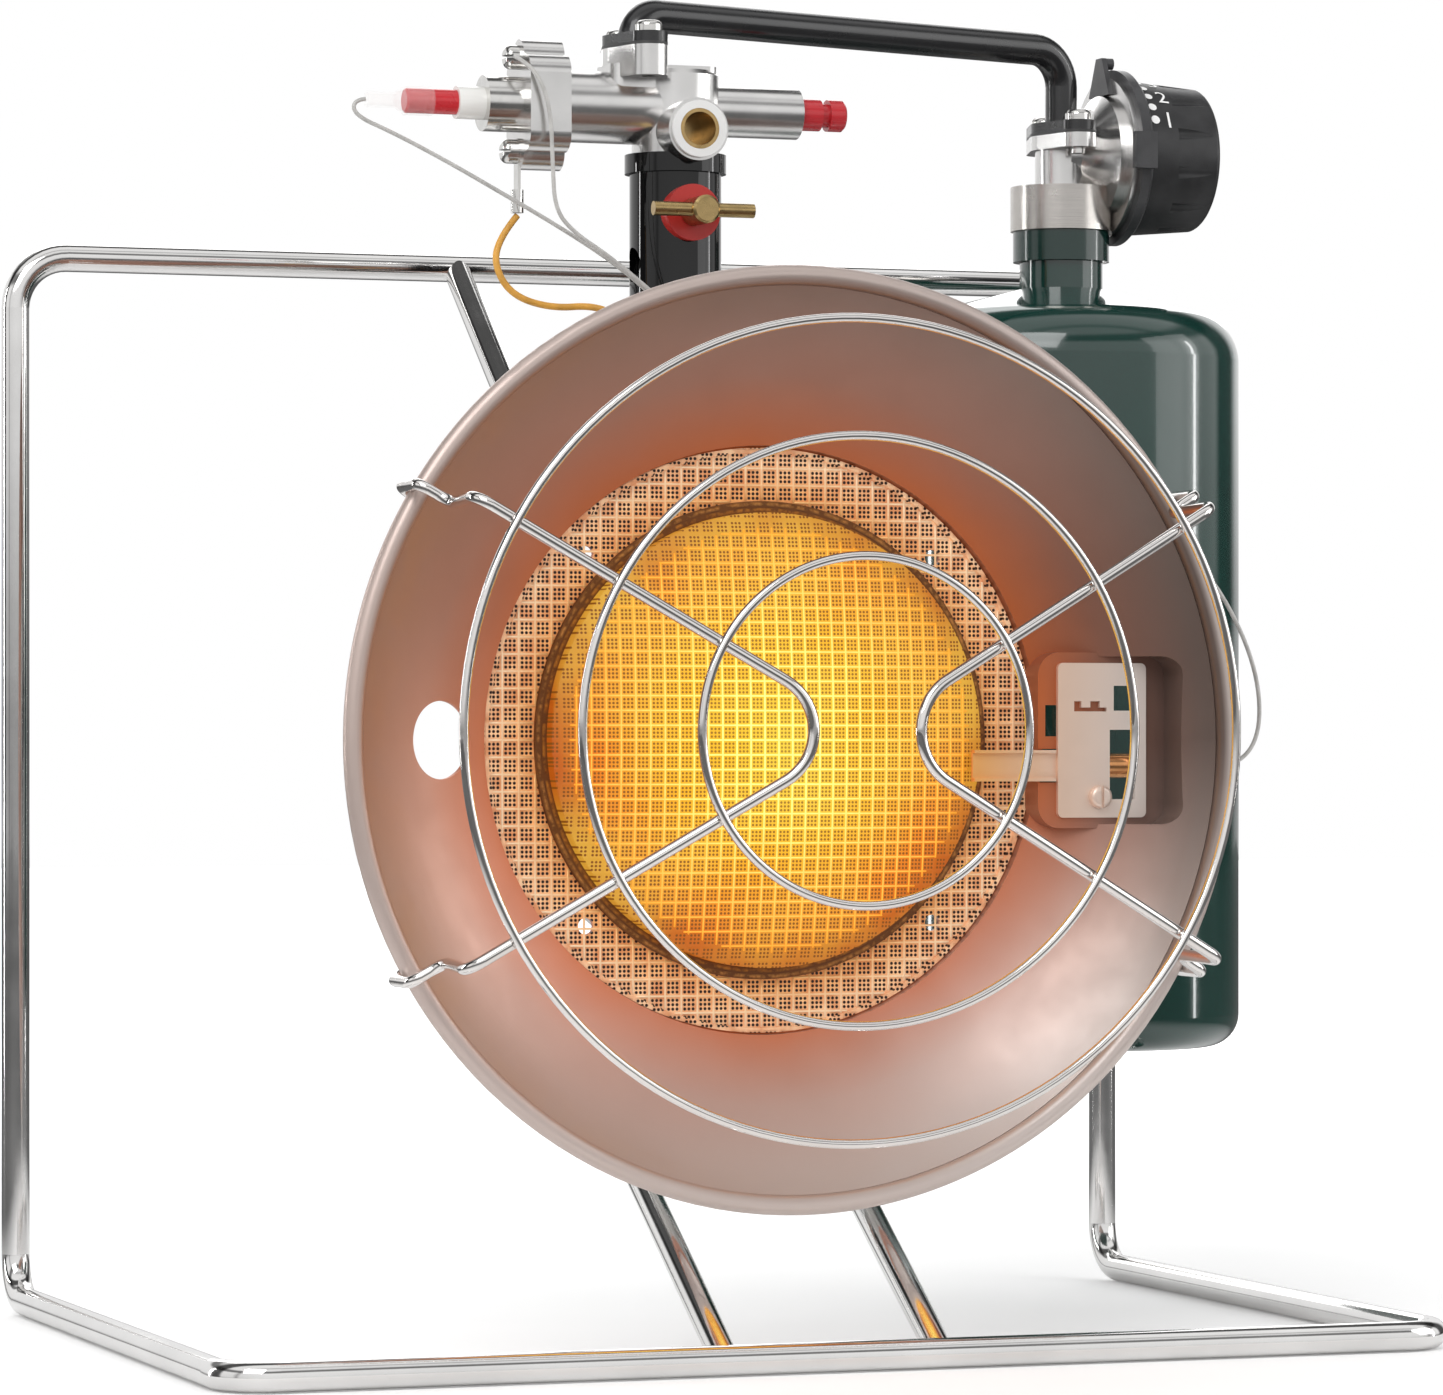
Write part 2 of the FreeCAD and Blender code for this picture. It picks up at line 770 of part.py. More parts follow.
def electrode_strip():
    """The flat strip from behind the plate to the front of the dome, with turned edges."""
    right = plate_x + strip_hold
    left = right - strip_length
    top = head_z - strip_drop + strip_width / 2
    bottom = top - strip_width
    back = pocket_floor_y + strip_t
    web = slab(left, right, pocket_floor_y, back, bottom, top)
    lips = [slab(left, plate_x - 0.5, pocket_floor_y - 1.4, pocket_floor_y, z, z + 0.8)
            for z in (bottom, top - 0.8)]
    return fuse([web] + lips)


def sensor_tip():
    """The copper sensor behind the plate, with a smaller neck at its right end."""
    y = pocket_floor_y + bowl_sheet + sensor_d / 2 + seat_gap
    z = head_z - strip_drop
    start = V(plate_x + 14.0, y, z)
    body = rod_between(start, RIGHT, sensor_d, sensor_length - 5)
    neck = rod_between(start + RIGHT * (sensor_length - 5), RIGHT, sensor_d * 0.55, 5)
    return fuse([body, neck])


# Guard

def arm_tip_radius(lift_share):
    """How far out an arm goes, so that its hook seats on the rolled rim."""
    rise = guard_lift * lift_share
    across = guard_lift ** 2 - rise ** 2
    return sqrt(guard_seat_r ** 2 - across) - rise


def arm_point(side, angle, out, y):
    a = radians(angle)
    return V(head_x + side * out * cos(a), y, guard_z + out * sin(a))


def arm_points(side, angle):
    """One arm's points from the end of its hook to the start of the jog."""
    tip = arm_tip_radius(sin(radians(angle)))
    front = rim_y - guard_hook_front
    back = rim_y + guard_hook_back
    return [
        arm_point(side, angle, tip - guard_hook_return, back),
        arm_point(side, angle, tip, back),
        arm_point(side, angle, tip, front),
        arm_point(side, angle, tip - guard_jog_end_in, front - 1.5),
        arm_point(side, angle, tip - guard_jog_start_in, guard_arm_y(tip - guard_jog_start_in)),
    ]


def guard_wire(side):
    """One V of wire: two arms from a round apex, each with a jog and a hook over the rim."""
    apex = arm_point(side, 0, 0, rim_y - guard_apex_forward)
    points = arm_points(side, guard_arm_angle) + [apex] + arm_points(side, -guard_arm_angle)[::-1]
    hook = guard_hook_bend_r
    jog = guard_jog_bend_r
    radii = [hook, hook, jog, jog, guard_apex_r, jog, jog, hook, hook]
    return sweep(rounded_path(points, radii), guard_wire_d)


def guard_arm_y(out):
    """How far forward an arm's middle is at one radius. Arms lean back from the apex."""
    return rim_y - guard_apex_forward + guard_arm_fall * out


def guard_ring_y(radius):
    return guard_arm_y(radius) - (guard_wire_d + guard_ring_wire_d) / 2 - 2 * seat_gap


def guard_ring(radius):
    centre = V(head_x, guard_ring_y(radius), guard_z)
    return Part.makeTorus(radius, guard_ring_wire_d / 2, centre, BACK)


footprint_y = (guard_ring_y(guard_ring_r[0]) - guard_ring_wire_d / 2 + back_y + rod_d / 2) / 2


# Mixer tube

def mixer_tube_path(start_z, end_y):
    points = [V(head_x, tube_y, start_z), V(head_x, tube_y, head_z), V(head_x, end_y, head_z)]
    return rounded_path(points, [tube_bend_r])


def mixer_tube():
    """A tube that comes down behind the reflector and turns forward into the burner cup."""
    end_y = cup_back_y - cup_wall - 3
    outer = sweep(mixer_tube_path(tube_top_z, end_y), tube_d)
    inner = sweep(mixer_tube_path(tube_top_z + 1, end_y - 1), tube_d - 2 * tube_wall)
    tube = outer.cut(inner)
    hole_start = V(head_x - tube_d, tube_y, air_hole_z)
    tube = tube.cut(rod_between(hole_start, RIGHT, air_hole_d, 2 * tube_d))
    screw_hole = rod_between(V(head_x, tube_y, wing_z), FRONT, wing_shank_d + 2 * shaft_gap, tube_d)
    return tube.cut(screw_hole)


def tube_collar():
    outer = tube_d + 2 * tube_collar_wall
    return pipe_between(V(head_x, tube_y, tube_top_z - tube_collar_height), UP, outer, tube_d + 2 * seat_gap,
                        tube_collar_height)


def gas_jet():
    """The brass jet that hangs from the valve into the top of the mixer tube."""
    top = V(head_x, tube_y, tube_top_z + 1.5)
    head = hexagon(top, DOWN, RIGHT, jet_hex, 4)
    body = rod_between(top, DOWN, jet_d, jet_length)
    whole = head.fuse(body)
    return whole.cut(rod_between(top, DOWN, jet_bore_d, jet_length))


# Safety valve

def valve_axis(x):
    return V(x, tube_y, valve_z)


def end_flange_outline(x, length):
    """The tall oval plate at the valve's left end."""
    z0 = valve_z - end_flange_height / 2
    half = end_flange_width / 2
    body = rounded_slab(x, x + length, tube_y - half, tube_y + half, z0 + 4, z0 + end_flange_height - 4, 5, RIGHT)
    eyes = [rod_between(p, RIGHT, 9.5, length) for p in end_screw_points(x)]
    webs = [slab(x, x + length, tube_y - 4.75, tube_y + 4.75, z0 + 5, z0 + end_flange_height - 5)]
    return fuse([body] + eyes + webs)


def end_screw_points(x):
    offset = V(0, 0, end_screw_pitch / 2)
    return [valve_axis(x) + offset, valve_axis(x) - offset]


def valve_outside():
    barrel = rod_between(valve_axis(barrel_left - 1), RIGHT, barrel_d, head_x - barrel_left)
    nose = rod_between(valve_axis(head_x), RIGHT, nose_d, nose_right - head_x)
    block_height = block_top_z - tube_top_z
    block = rod_between(V(head_x, tube_y, tube_top_z), UP, block_d, block_height)
    block = block.makeChamfer(1.2, [block.Edges[0]])
    pad = rounded_slab(inlet_boss_x - 8.5, head_x + block_d / 2 - 2, tube_y - 8, tube_y + 8,
                       valve_z + 4, block_top_z + 1, 3, UP)
    boss = oval_plate(V(inlet_boss_x, tube_y, 0), inlet_boss_top_z - 8, 8)
    port = rod_between(port_centre(tube_y), FRONT, port_boss_d, port_reach)
    flange = end_flange_outline(end_flange_x, end_flange_t)
    tube_room = rod_between(V(head_x, tube_y, tube_top_z - 10), UP, tube_d + 2 * tube_collar_wall + 2 * turn_gap, 10)
    return fuse([barrel, nose, block, pad, boss, port.cut(tube_room), flange])


def port_centre(y):
    return V(head_x, y, valve_z - port_drop)


def valve_body():
    """The cast valve body, bored for the button, the port, the inlet and the screws."""
    body = valve_outside()
    cutters = [
        rod_between(valve_axis(button_bore_end_x), RIGHT, button_d + 2 * shaft_gap, button_bore_depth),
        rod_between(valve_axis(end_flange_x), RIGHT, 10.0, 26.0),
        rod_between(port_centre(port_front_y), BACK, port_insert_d, port_bore_depth + 2),
        rod_between(V(head_x, tube_y, tube_top_z), UP, jet_hex * 1.2, 1.5),
        rod_between(V(head_x, tube_y, tube_top_z + 1.5), UP, 2.0, 8.0),
        rod_between(V(inlet_boss_x, tube_y, valve_z), UP, pipe_d - 2 * pipe_wall, 40.0),
    ]
    cutters += [rod_between(p, RIGHT, 3.0, 9.0) for p in end_screw_points(end_flange_x)]
    cutters += [rod_between(p, DOWN, flange_screw_d, 9.0)
                for p in flange_screw_points(V(inlet_boss_x, tube_y, 0), inlet_boss_top_z)]
    for cutter in cutters:
        body = body.cut(cutter)
    return max(body.Solids, key=lambda s: s.Volume)


def valve_end_cap():
    """The thin oval plate that closes the valve's left end."""
    cap = end_flange_outline(cap_x, cap_t)
    cap = cap.cut(rod_between(valve_axis(cap_x - 1), RIGHT, ceramic_d + 2 * shaft_gap, cap_t + 2))
    for point in end_screw_points(cap_x - 1):
        cap = cap.cut(rod_between(point, RIGHT, 3.2, cap_t + 2))
    return cap


def end_cap_screws():
    """Two screws; the lower one also clamps the earth terminal."""
    upper, lower = end_screw_points(cap_x)
    seats = [upper, lower + LEFT * terminal_t]
    return group([pan_screw(p, LEFT, 3.0, cap_t + 8.0, 6.4, 4.0) for p in seats])


def end_collar():
    return pipe_between(valve_axis(cap_x - collar_length + 1.5), RIGHT, collar_d, ceramic_d + 2 * seat_gap,
                        collar_length - 1.5)


def ceramic_end_x():
    return cap_x - collar_length + 1.5 - ceramic_length + 4.0


def insulator():
    """White ceramic, with a small step, from inside the cap to its free end."""
    start = ceramic_end_x()
    length = cap_x + cap_t - start
    return rod_between(valve_axis(start), RIGHT, ceramic_d, length)


def igniter_boot():
    """The red boot on the ceramic's end; it runs into the clear sleeve."""
    start = ceramic_end_x() - boot_length
    boot = rod_between(valve_axis(start), RIGHT, boot_d, boot_length)
    return boot.makeChamfer(0.5, [boot.Edges[2]])


def sleeve_outline(wall):
    """Outer or inner outline of the clear sleeve as (radius, distance) pairs."""
    neck = sleeve_neck_length
    cone = neck + sleeve_cone_length
    end = cone + sleeve_length - sleeve_cone_length
    return [(sleeve_neck_d / 2 - wall, 0), (sleeve_neck_d / 2 - wall, neck),
            (sleeve_d / 2 - wall, cone), (sleeve_d / 2 - wall, end)]


def sleeve_start_x():
    return ceramic_end_x() - boot_length - sleeve_neck_length - sleeve_cone_length - seat_gap


def clear_sleeve():
    """A clear sleeve with a narrow neck for the wire."""
    outer = sleeve_outline(0)
    inner = sleeve_outline(sleeve_wall)
    shell = revolve(outer + inner[::-1], valve_axis(sleeve_start_x()), RIGHT, UP)
    return shell


def port_ring():
    """The white ring on the front port."""
    outer = port_ring_d
    return pipe_between(port_centre(port_front_y - port_ring_t), BACK, outer, port_insert_d + 2 * seat_gap,
                        port_ring_t)


def port_insert():
    """The brass socket in the front port, open to the front."""
    front = port_front_y - port_ring_t
    socket = rod_between(port_centre(front), BACK, port_insert_d, port_bore_depth + port_ring_t + 1.5)
    bore = rod_between(port_centre(front), BACK, port_bore_d, port_bore_depth)
    return socket.cut(bore)


def push_button():
    """The red button with a groove behind its head, and the stem inside its spring."""
    r = button_d / 2
    neck = button_neck_d / 2
    head = button_head_length
    groove = head + button_neck_length
    end = button_reach + button_skirt_length
    button = revolve([(0, 0), (r - 0.6, 0), (r, 0.6), (r, head), (neck, head), (neck, groove), (r, groove),
                      (r, end), (0, end)], valve_axis(nose_right + button_reach), LEFT, UP)
    stem_start = valve_axis(nose_right - button_skirt_length)
    stem = rod_between(stem_start, LEFT, button_stem_d, 6.0)
    return fuse([button, stem])


def button_spring():
    """The return spring between the button's skirt and the bore's end."""
    space = button_bore_depth - button_skirt_length - 2 * seat_gap
    pitch = (space - spring_wire_d * 1.6) / spring_turns
    start = valve_axis(button_bore_end_x + spring_wire_d * 0.8 + seat_gap)
    return coil(start, spring_mean_d, spring_wire_d, pitch, spring_turns)


# Wing screw

def wing_washer():
    """The red washer, hollowed to the tube's round front."""
    start = V(head_x, tube_front_y + 3.0, wing_z)
    washer = rod_between(start, FRONT, washer_d, washer_t + 3.0)
    washer = washer.cut(rod_between(V(head_x, tube_y, wing_z - 20), UP, tube_d + 2 * seat_gap, 40))
    washer = max(washer.Solids, key=lambda s: s.Volume)
    return washer.cut(rod_between(V(head_x, tube_y, wing_z), FRONT, wing_shank_d + 2 * shaft_gap, 40))


def wing_screw():
    """A brass thumb screw: shank, hub and two wings that widen outward."""
    hub_y = tube_front_y - washer_t - turn_gap
    hub = rod_between(V(head_x, hub_y, wing_z), FRONT, wing_hub_d, wing_hub_length)
    hub = hub.makeChamfer(0.6, [hub.Edges[0]])
    shank_length = tube_d / 2 - tube_wall + washer_t + tube_wall + turn_gap
    shank = rod_between(V(head_x, hub_y, wing_z), BACK, wing_shank_d, shank_length * 0.6)
    wing_y = hub_y - wing_hub_length * wing_hub_share
    wing = rod_between(V(head_x - wing_span / 2, wing_y, wing_z), RIGHT, wing_rod_d, wing_span)
    return fuse([hub, shank, wing])


# Gas pipe

def pipe_path(below):
    left = V(inlet_boss_x, tube_y, inlet_boss_top_z + gasket_t - below)
    right = V(cylinder_x, cylinder_y, regulator_seat_z + gasket_t - below)
    points = [left, V(left.x, left.y, pipe_z), V(right.x, right.y, pipe_z), right]
    return rounded_path(points, [pipe_left_bend_r, pipe_right_bend_r])


def gas_pipe():
    outer = sweep(pipe_path(0), pipe_d)
    inner = sweep(pipe_path(0), pipe_d - 2 * pipe_wall)
    return outer.cut(inner)


def pipe_flange(centre, seat_z):
    """A stamped oval flange that is brazed to the pipe's end."""
    plate = oval_plate(centre, seat_z + gasket_t, flange_t)
    plate = plate.cut(rod_between(V(centre.x, centre.y, seat_z), UP, pipe_d + 2 * seat_gap, flange_t + 2))
    return drill_flange(plate, centre, seat_z)


def drill_flange(plate, centre, seat_z):
    for point in flange_screw_points(centre, seat_z + gasket_t + flange_t + 1):
        plate = plate.cut(rod_between(point, DOWN, flange_screw_d + 0.3, flange_t + gasket_t + 4))
    return plate


def pipe_gasket(centre, seat_z):
    sheet = oval_plate(centre, seat_z, gasket_t)
    sheet = sheet.cut(rod_between(V(centre.x, centre.y, seat_z - 1), UP, pipe_d - 2 * pipe_wall, gasket_t + 2))
    return drill_flange(sheet, centre, seat_z)


def flange_screws(centre, seat_z, shank_length):
    seat = seat_z + gasket_t + flange_t
    return group([pan_screw(p, UP, flange_screw_d, shank_length, flange_screw_head_d, flange_screw_head_t)
                  for p in flange_screw_points(centre, seat)])


# Regulator

def cylinder_point(z):
    return V(cylinder_x, cylinder_y, z)


def knob_axis(x):
    return V(x, cylinder_y, regulator_z)


def bell():
    """The bell-shaped housing that opens to the right, with a narrow flange."""
    reach = bell_reach
    r0 = bell_start_d / 2
    r1 = bell_flange_d / 2
    lip = r1 - 5.0
    return revolve([(0, 0), (r0, 0), (r0, reach * 0.25), (r0 + 3.5, reach * 0.55, True), (lip, reach * 0.85),
                    (lip, reach), (r1, reach), (r1, reach + bell_flange_t), (0, reach + bell_flange_t)],
                   knob_axis(cylinder_x), RIGHT, UP)


def regulator_body():
    """Column, screw flange and bell in one casting, bored for gas and for the knob's shaft."""
    column = rod_between(cylinder_point(collar_top_z), UP, column_d, regulator_seat_z - collar_top_z)
    seat = oval_plate(cylinder_point(0), regulator_seat_z - seat_flange_t, seat_flange_t)
    housing = bell().cut(rod_between(cylinder_point(0), UP, inlet_collar_d + 2 * seat_gap, collar_top_z))
    housing = housing.cut(oval_plate(cylinder_point(0), regulator_seat_z, 30, turn_gap))
    body = fuse([column, seat, housing])
    gas = rod_between(cylinder_point(collar_top_z - 1), UP, pipe_d - 2 * pipe_wall, 40)
    body = body.cut(gas)
    shaft = rod_between(knob_axis(cylinder_x + 6), RIGHT, knob_shaft_d + 2 * shaft_gap, 40)
    body = body.cut(shaft)
    for point in flange_screw_points(cylinder_point(0), regulator_seat_z + 1):
        body = body.cut(rod_between(point, DOWN, flange_screw_d, seat_flange_t + 3))
    return max(body.Solids, key=lambda s: s.Volume)


def inlet_collar():
    """The threaded collar that takes the cylinder's neck."""
    collar = rod_between(cylinder_point(inlet_collar_z), UP, inlet_collar_d, inlet_collar_height)
    bore = rod_between(cylinder_point(inlet_collar_z), UP, thread_d + 2 * shaft_gap,
                       thread_length + turn_gap + seal_t + turn_gap)
    collar = collar.cut(bore)
    return collar.cut(rod_between(cylinder_point(inlet_collar_z), UP, pipe_d - 2 * pipe_wall, 30))


def inlet_seal():
    top = inlet_collar_z + thread_length + turn_gap + seal_t + turn_gap
    return pipe_between(cylinder_point(top - seal_t), UP, thread_d - 2, pipe_d - 2 * pipe_wall, seal_t)


def dial_bezel():
    """The dark ring between the bell and the knob."""
    outer = revolve([(0, 0), (bezel_d / 2, 0), (bezel_d / 2, bezel_t - 1), (bezel_d / 2 - 1, bezel_t),
                     (0, bezel_t)], knob_axis(bezel_x), RIGHT, UP)
    return outer.cut(rod_between(knob_axis(bezel_x - 1), RIGHT, knob_shaft_d + 2 * shaft_gap, bezel_t + 2))


def dial_pointer():
    """The upright tab on the bell's flange, with a small round-headed screw."""
    r = bell_flange_d / 2
    x = bell_flange_x - 1.4
    z = regulator_z + r
    base = [V(x, cylinder_y - tab_width, z - 5), V(x, cylinder_y - 2, z + tab_height - 4),
            V(x, cylinder_y + 2, z + tab_height - 4), V(x, cylinder_y + tab_width, z - 5)]
    tab = Part.Face(Part.makePolygon(base + base[:1])).extrude(RIGHT * 1.4)
    ball = rod_between(V(x + 1.4, cylinder_y, z + tab_height - tab_ball_drop), RIGHT, tab_ball_d, 2.6)
    return fuse([tab, ball])


def dial_clips():
    """Two square clips that hold the bezel to the bell's flange, front and back."""
    clips = []
    for side in (1, -1):
        y = cylinder_y + side * (bezel_d / 2 + 1.2)
        clip = slab(bell_flange_x - 1.6, bezel_x + bezel_t - 0.4, y - 1.2, y + 1.2, regulator_z - 5, regulator_z + 5)
        clips.append(clip)
    return group(clips)


def control_knob():
    """A hollow tapered knob with finger grooves round its outer half."""
    r0 = knob_d / 2
    r1 = knob_end_d / 2
    end = knob_length
    w = knob_wall
    skirt = revolve([(0, end - w), (r1 - w - 1, end - w), (r0 - w, 0), (r0, 0), (r1 + 0.3, end - 1.5),
                     (r1 - 0.6, end - 0.4, True), (r1 - 2.5, end), (0, end)], knob_axis(knob_x), RIGHT, UP)
    hub = rod_between(knob_axis(knob_x + 1.5), RIGHT, knob_shaft_d + 6, end - w - 1.5)
    knob = fuse([skirt, hub])
    for k in range(knob_grip_count):
        a = radians(360 * (k + 0.5) / knob_grip_count)
        out = V(0, cos(a), sin(a)) * (r0 + 0.6)
        start = knob_axis(knob_x + knob_grip_start) + out
        knob = knob.cut(Part.makeCylinder(knob_grip_r, end, start, RIGHT))
    return knob.cut(rod_between(knob_axis(knob_x), RIGHT, knob_shaft_d, end - w - 3))


def knob_shaft():
    """The shaft that the knob is pressed on."""
    length = knob_x + knob_length - knob_wall - 3 - (cylinder_x + 8)
    return rod_between(knob_axis(cylinder_x + 8), RIGHT, knob_shaft_d, length)


# Gas cylinder

def cylinder_outline(inset):
    """Outline of the cylinder's shell from the middle of its foot to its neck, as (radius, z)."""
    r = cylinder_d / 2 - inset
    bottom = cylinder_bottom_z + inset
    foot = cylinder_foot_r - inset
    bend = 1 - 1 / sqrt(2)
    side_top = cylinder_shoulder_z - cylinder_shoulder_drop
    neck = neck_d / 2 - inset
    shoulder_r = r - 12.0
    return [
        (r - foot, bottom), (r - foot * bend, bottom + foot * bend, True), (r, bottom + foot),
        (r, side_top - inset), (r - 3.4, side_top + 8.6 - inset, True), (shoulder_r, side_top + 13.5 - inset),
        (neck, cylinder_shoulder_z - inset), (neck, neck_ring_z)]


def cylinder_shell():
    """The deep drawn steel bottle, open at its neck."""
    outer = cylinder_outline(0)
    inner = cylinder_outline(cylinder_wall)
    bottom = [(0, cylinder_bottom_z)]
    inner_bottom = [(0, cylinder_bottom_z + cylinder_wall)]
    return revolve(bottom + outer + inner[::-1] + inner_bottom, cylinder_point(0), UP, RIGHT)


def cylinder_neck():
    """The neck ring and the threaded mouth above it."""
    ring = rod_between(cylinder_point(neck_ring_z), UP, neck_ring_d, neck_ring_height)
    mouth = rod_between(cylinder_point(neck_ring_z + neck_ring_height), UP, thread_d, thread_length)
    neck = fuse([ring, mouth])
    return neck.cut(rod_between(cylinder_point(neck_ring_z), UP, cylinder_valve_d, 40))


def cylinder_valve():
    """The brass valve core that fills the neck."""
    height = neck_ring_height + thread_length - 1.5
    core = rod_between(cylinder_point(neck_ring_z), UP, cylinder_valve_d, height)
    core = core.cut(rod_between(cylinder_point(neck_ring_z + height - 6), UP, 7.0, 8))
    return core.fuse(rod_between(cylinder_point(neck_ring_z + height - 7), UP, 2.6, 6.0))


# Leads

def turn_radius(before, corner, after):
    """The largest arc that leaves both runs some straight."""
    turn = pi - (before - corner).getAngle(after - corner)
    shorter = min((before - corner).Length, (after - corner).Length)
    return 0.45 * shorter / tan(turn / 2)


def lead(name, points, diameter):
    """A lead along its route. It prints its length, its tightest arc and its volume's error."""
    radii = [turn_radius(a, b, c) for a, b, c in zip(points, points[1:], points[2:])]
    path = rounded_path(points, radii)
    tube = sweep(path, diameter)
    expected = pi * diameter ** 2 / 4 * path.Length
    print(name, "length", round(path.Length, 1), "radii", [round(r, 1) for r in radii],
          "volume ratio", round(tube.Volume / expected, 4))
    return tube


def points_of(rows):
    """A route's points, whose X and Z are written from the head's middle."""
    return [V(head_x + x, y, head_z + z) for x, y, z in rows]


igniter_lead_route = [
    (-84.9, 6.6, 166.0), (-88.2, 6.4, 165.6), (-88.0, 6.0, 161.6), (-78.0, 5.0, 157.4), (-63.5, 3.0, 150.0),
    (-49.0, 0.0, 141.6), (-36.5, -3.0, 134.2), (-24.5, -7.5, 126.0), (-14.5, -13.0, 117.0),
    (-1.0, -20.0, 101.0), (20.0, -24.0, 83.0), (47.0, -22.0, 61.0), (69.0, -24.0, 31.0),
    (79.0, -34.0, 5.0), (87.0, -48.0, -9.0), (88.0, -65.2, -14.5)]

sensor_lead_route = [
    (-45.4, 2.9, 178.0), (-45.6, -3.4, 176.6), (-41.6, -6.4, 172.0), (-38.8, -6.8, 163.0), (-38.5, -7.4, 149.0),
    (-38.2, -8.4, 137.5), (-33.6, -10.2, 131.5), (-25.5, -12.2, 126.0), (-16.5, -14.5, 118.6),
    (-4.0, -18.0, 107.0), (19.0, -27.0, 101.0), (57.0, -34.0, 92.0), (95.0, -46.0, 73.0),
    (123.0, -56.0, 48.0), (136.5, -61.0, 22.0), (138.0, -62.0, 0.0), (126.0, -64.5, -8.5),
    (110.8, -65.8, -6.5)]

earth_lead_route = [
    (-43.7, 6.6, 137.0), (-48.0, 6.2, 132.0), (-50.8, 5.0, 124.5), (-46.5, 3.6, 116.0),
    (-36.0, 1.5, 112.6), (-24.5, -1.0, 113.6), (-17.0, -5.5, 109.0), (-14.5, -11.0, 95.0),
    (-15.0, -18.0, 77.0), (-15.0, -25.5, 60.0), (-13.0, -25.9, 49.0)]


def lead_terminal():
    """The crimp terminal that hangs from the lower end screw: a ring, a tab and a barrel."""
    lower = end_screw_points(cap_x)[1]
    ring = rod_between(lower, LEFT, 7.0, terminal_t)
    tab = slab(lower.x - terminal_t, lower.x, tube_y - 1.7, tube_y + 1.7, lower.z - terminal_length, lower.z)
    whole = fuse([ring, tab]).cut(rod_between(lower, LEFT, 3.2, terminal_t))
    start = V(lower.x - terminal_t / 2, tube_y, lower.z - terminal_length - 4.0)
    return fuse([whole, rod_between(start, UP, 3.4, 6.0)])


def build_stand():
    stand = stand_rod()
    save("stand_rod", stand)
    save("brace_rod_left", brace_rod(head_x - brace_spacing / 2, stand))
    save("brace_rod_right", brace_rod(head_x + brace_spacing / 2, stand))
    save("head_bracket", head_bracket())
    save("bracket_screws", bracket_screws())


def build_head():
    save("burner_cup", burner_cup())
    save("burner_screen", burner_screen())
    save("mesh_dome", mesh_dome())
    save("dome_ring", dome_ring())
    save("reflector", reflector())
    save("sensor_plate", sensor_plate())
    save("sensor_plate_screw", sensor_plate_screw())
    save("electrode_strip", electrode_strip())
    save("sensor_tip", sensor_tip())


def build_guard():
    for name, radius in zip(("inner", "middle", "outer"), guard_ring_r):
        save("guard_ring_" + name, guard_ring(radius))
    save("guard_wire_left", guard_wire(-1))
    save("guard_wire_right", guard_wire(1))


def build_valve():
    save("mixer_tube", mixer_tube())
    save("tube_collar", tube_collar())
    save("gas_jet", gas_jet())
    save("valve_body", valve_body())
    save("valve_end_cap", valve_end_cap())
    save("end_cap_screws", end_cap_screws())
    save("end_collar", end_collar())
    save("insulator", insulator())
    save("igniter_boot", igniter_boot())
    save("clear_sleeve", clear_sleeve())
    save("port_ring", port_ring())
    save("port_insert", port_insert())
    save("push_button", push_button())
    save("button_spring", button_spring())
    save("wing_washer", wing_washer())
    save("wing_screw", wing_screw())


def build_gas_line():
    valve_end = V(inlet_boss_x, tube_y, 0)
    regulator_end = cylinder_point(0)
    save("gas_pipe", gas_pipe())
    save("pipe_flange_valve", pipe_flange(valve_end, inlet_boss_top_z))
    save("pipe_flange_regulator", pipe_flange(regulator_end, regulator_seat_z))
    save("pipe_gasket_valve", pipe_gasket(valve_end, inlet_boss_top_z))
    save("pipe_gasket_regulator", pipe_gasket(regulator_end, regulator_seat_z))
    save("flange_screws_valve", flange_screws(valve_end, inlet_boss_top_z, 9.0))
    save("flange_screws_regulator", flange_screws(regulator_end, regulator_seat_z, 9.0))


def build_regulator():
    save("regulator_body", regulator_body())
    save("inlet_collar", inlet_collar())
    save("inlet_seal", inlet_seal())
    save("dial_bezel", dial_bezel())
    save("dial_pointer", dial_pointer())
    save("dial_clips", dial_clips())
    save("control_knob", control_knob())
    save("knob_shaft", knob_shaft())


def build_cylinder():
    save("cylinder_shell", cylinder_shell())
    save("cylinder_neck", cylinder_neck())
    save("cylinder_valve", cylinder_valve())


def build_leads():
    save("lead_terminal", lead_terminal())
    save("igniter_lead", lead("igniter lead", points_of(igniter_lead_route), thin_lead_d))
    save("sensor_lead", lead("sensor lead", points_of(sensor_lead_route), thin_lead_d))
    save("earth_lead", lead("earth lead", points_of(earth_lead_route), earth_lead_d))


os.makedirs("parts", exist_ok=True)
build_stand()
build_head()
build_guard()
build_valve()
build_gas_line()
build_regulator()
build_cylinder()
build_leads()
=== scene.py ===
from math import cos, pi, radians, sin, sqrt

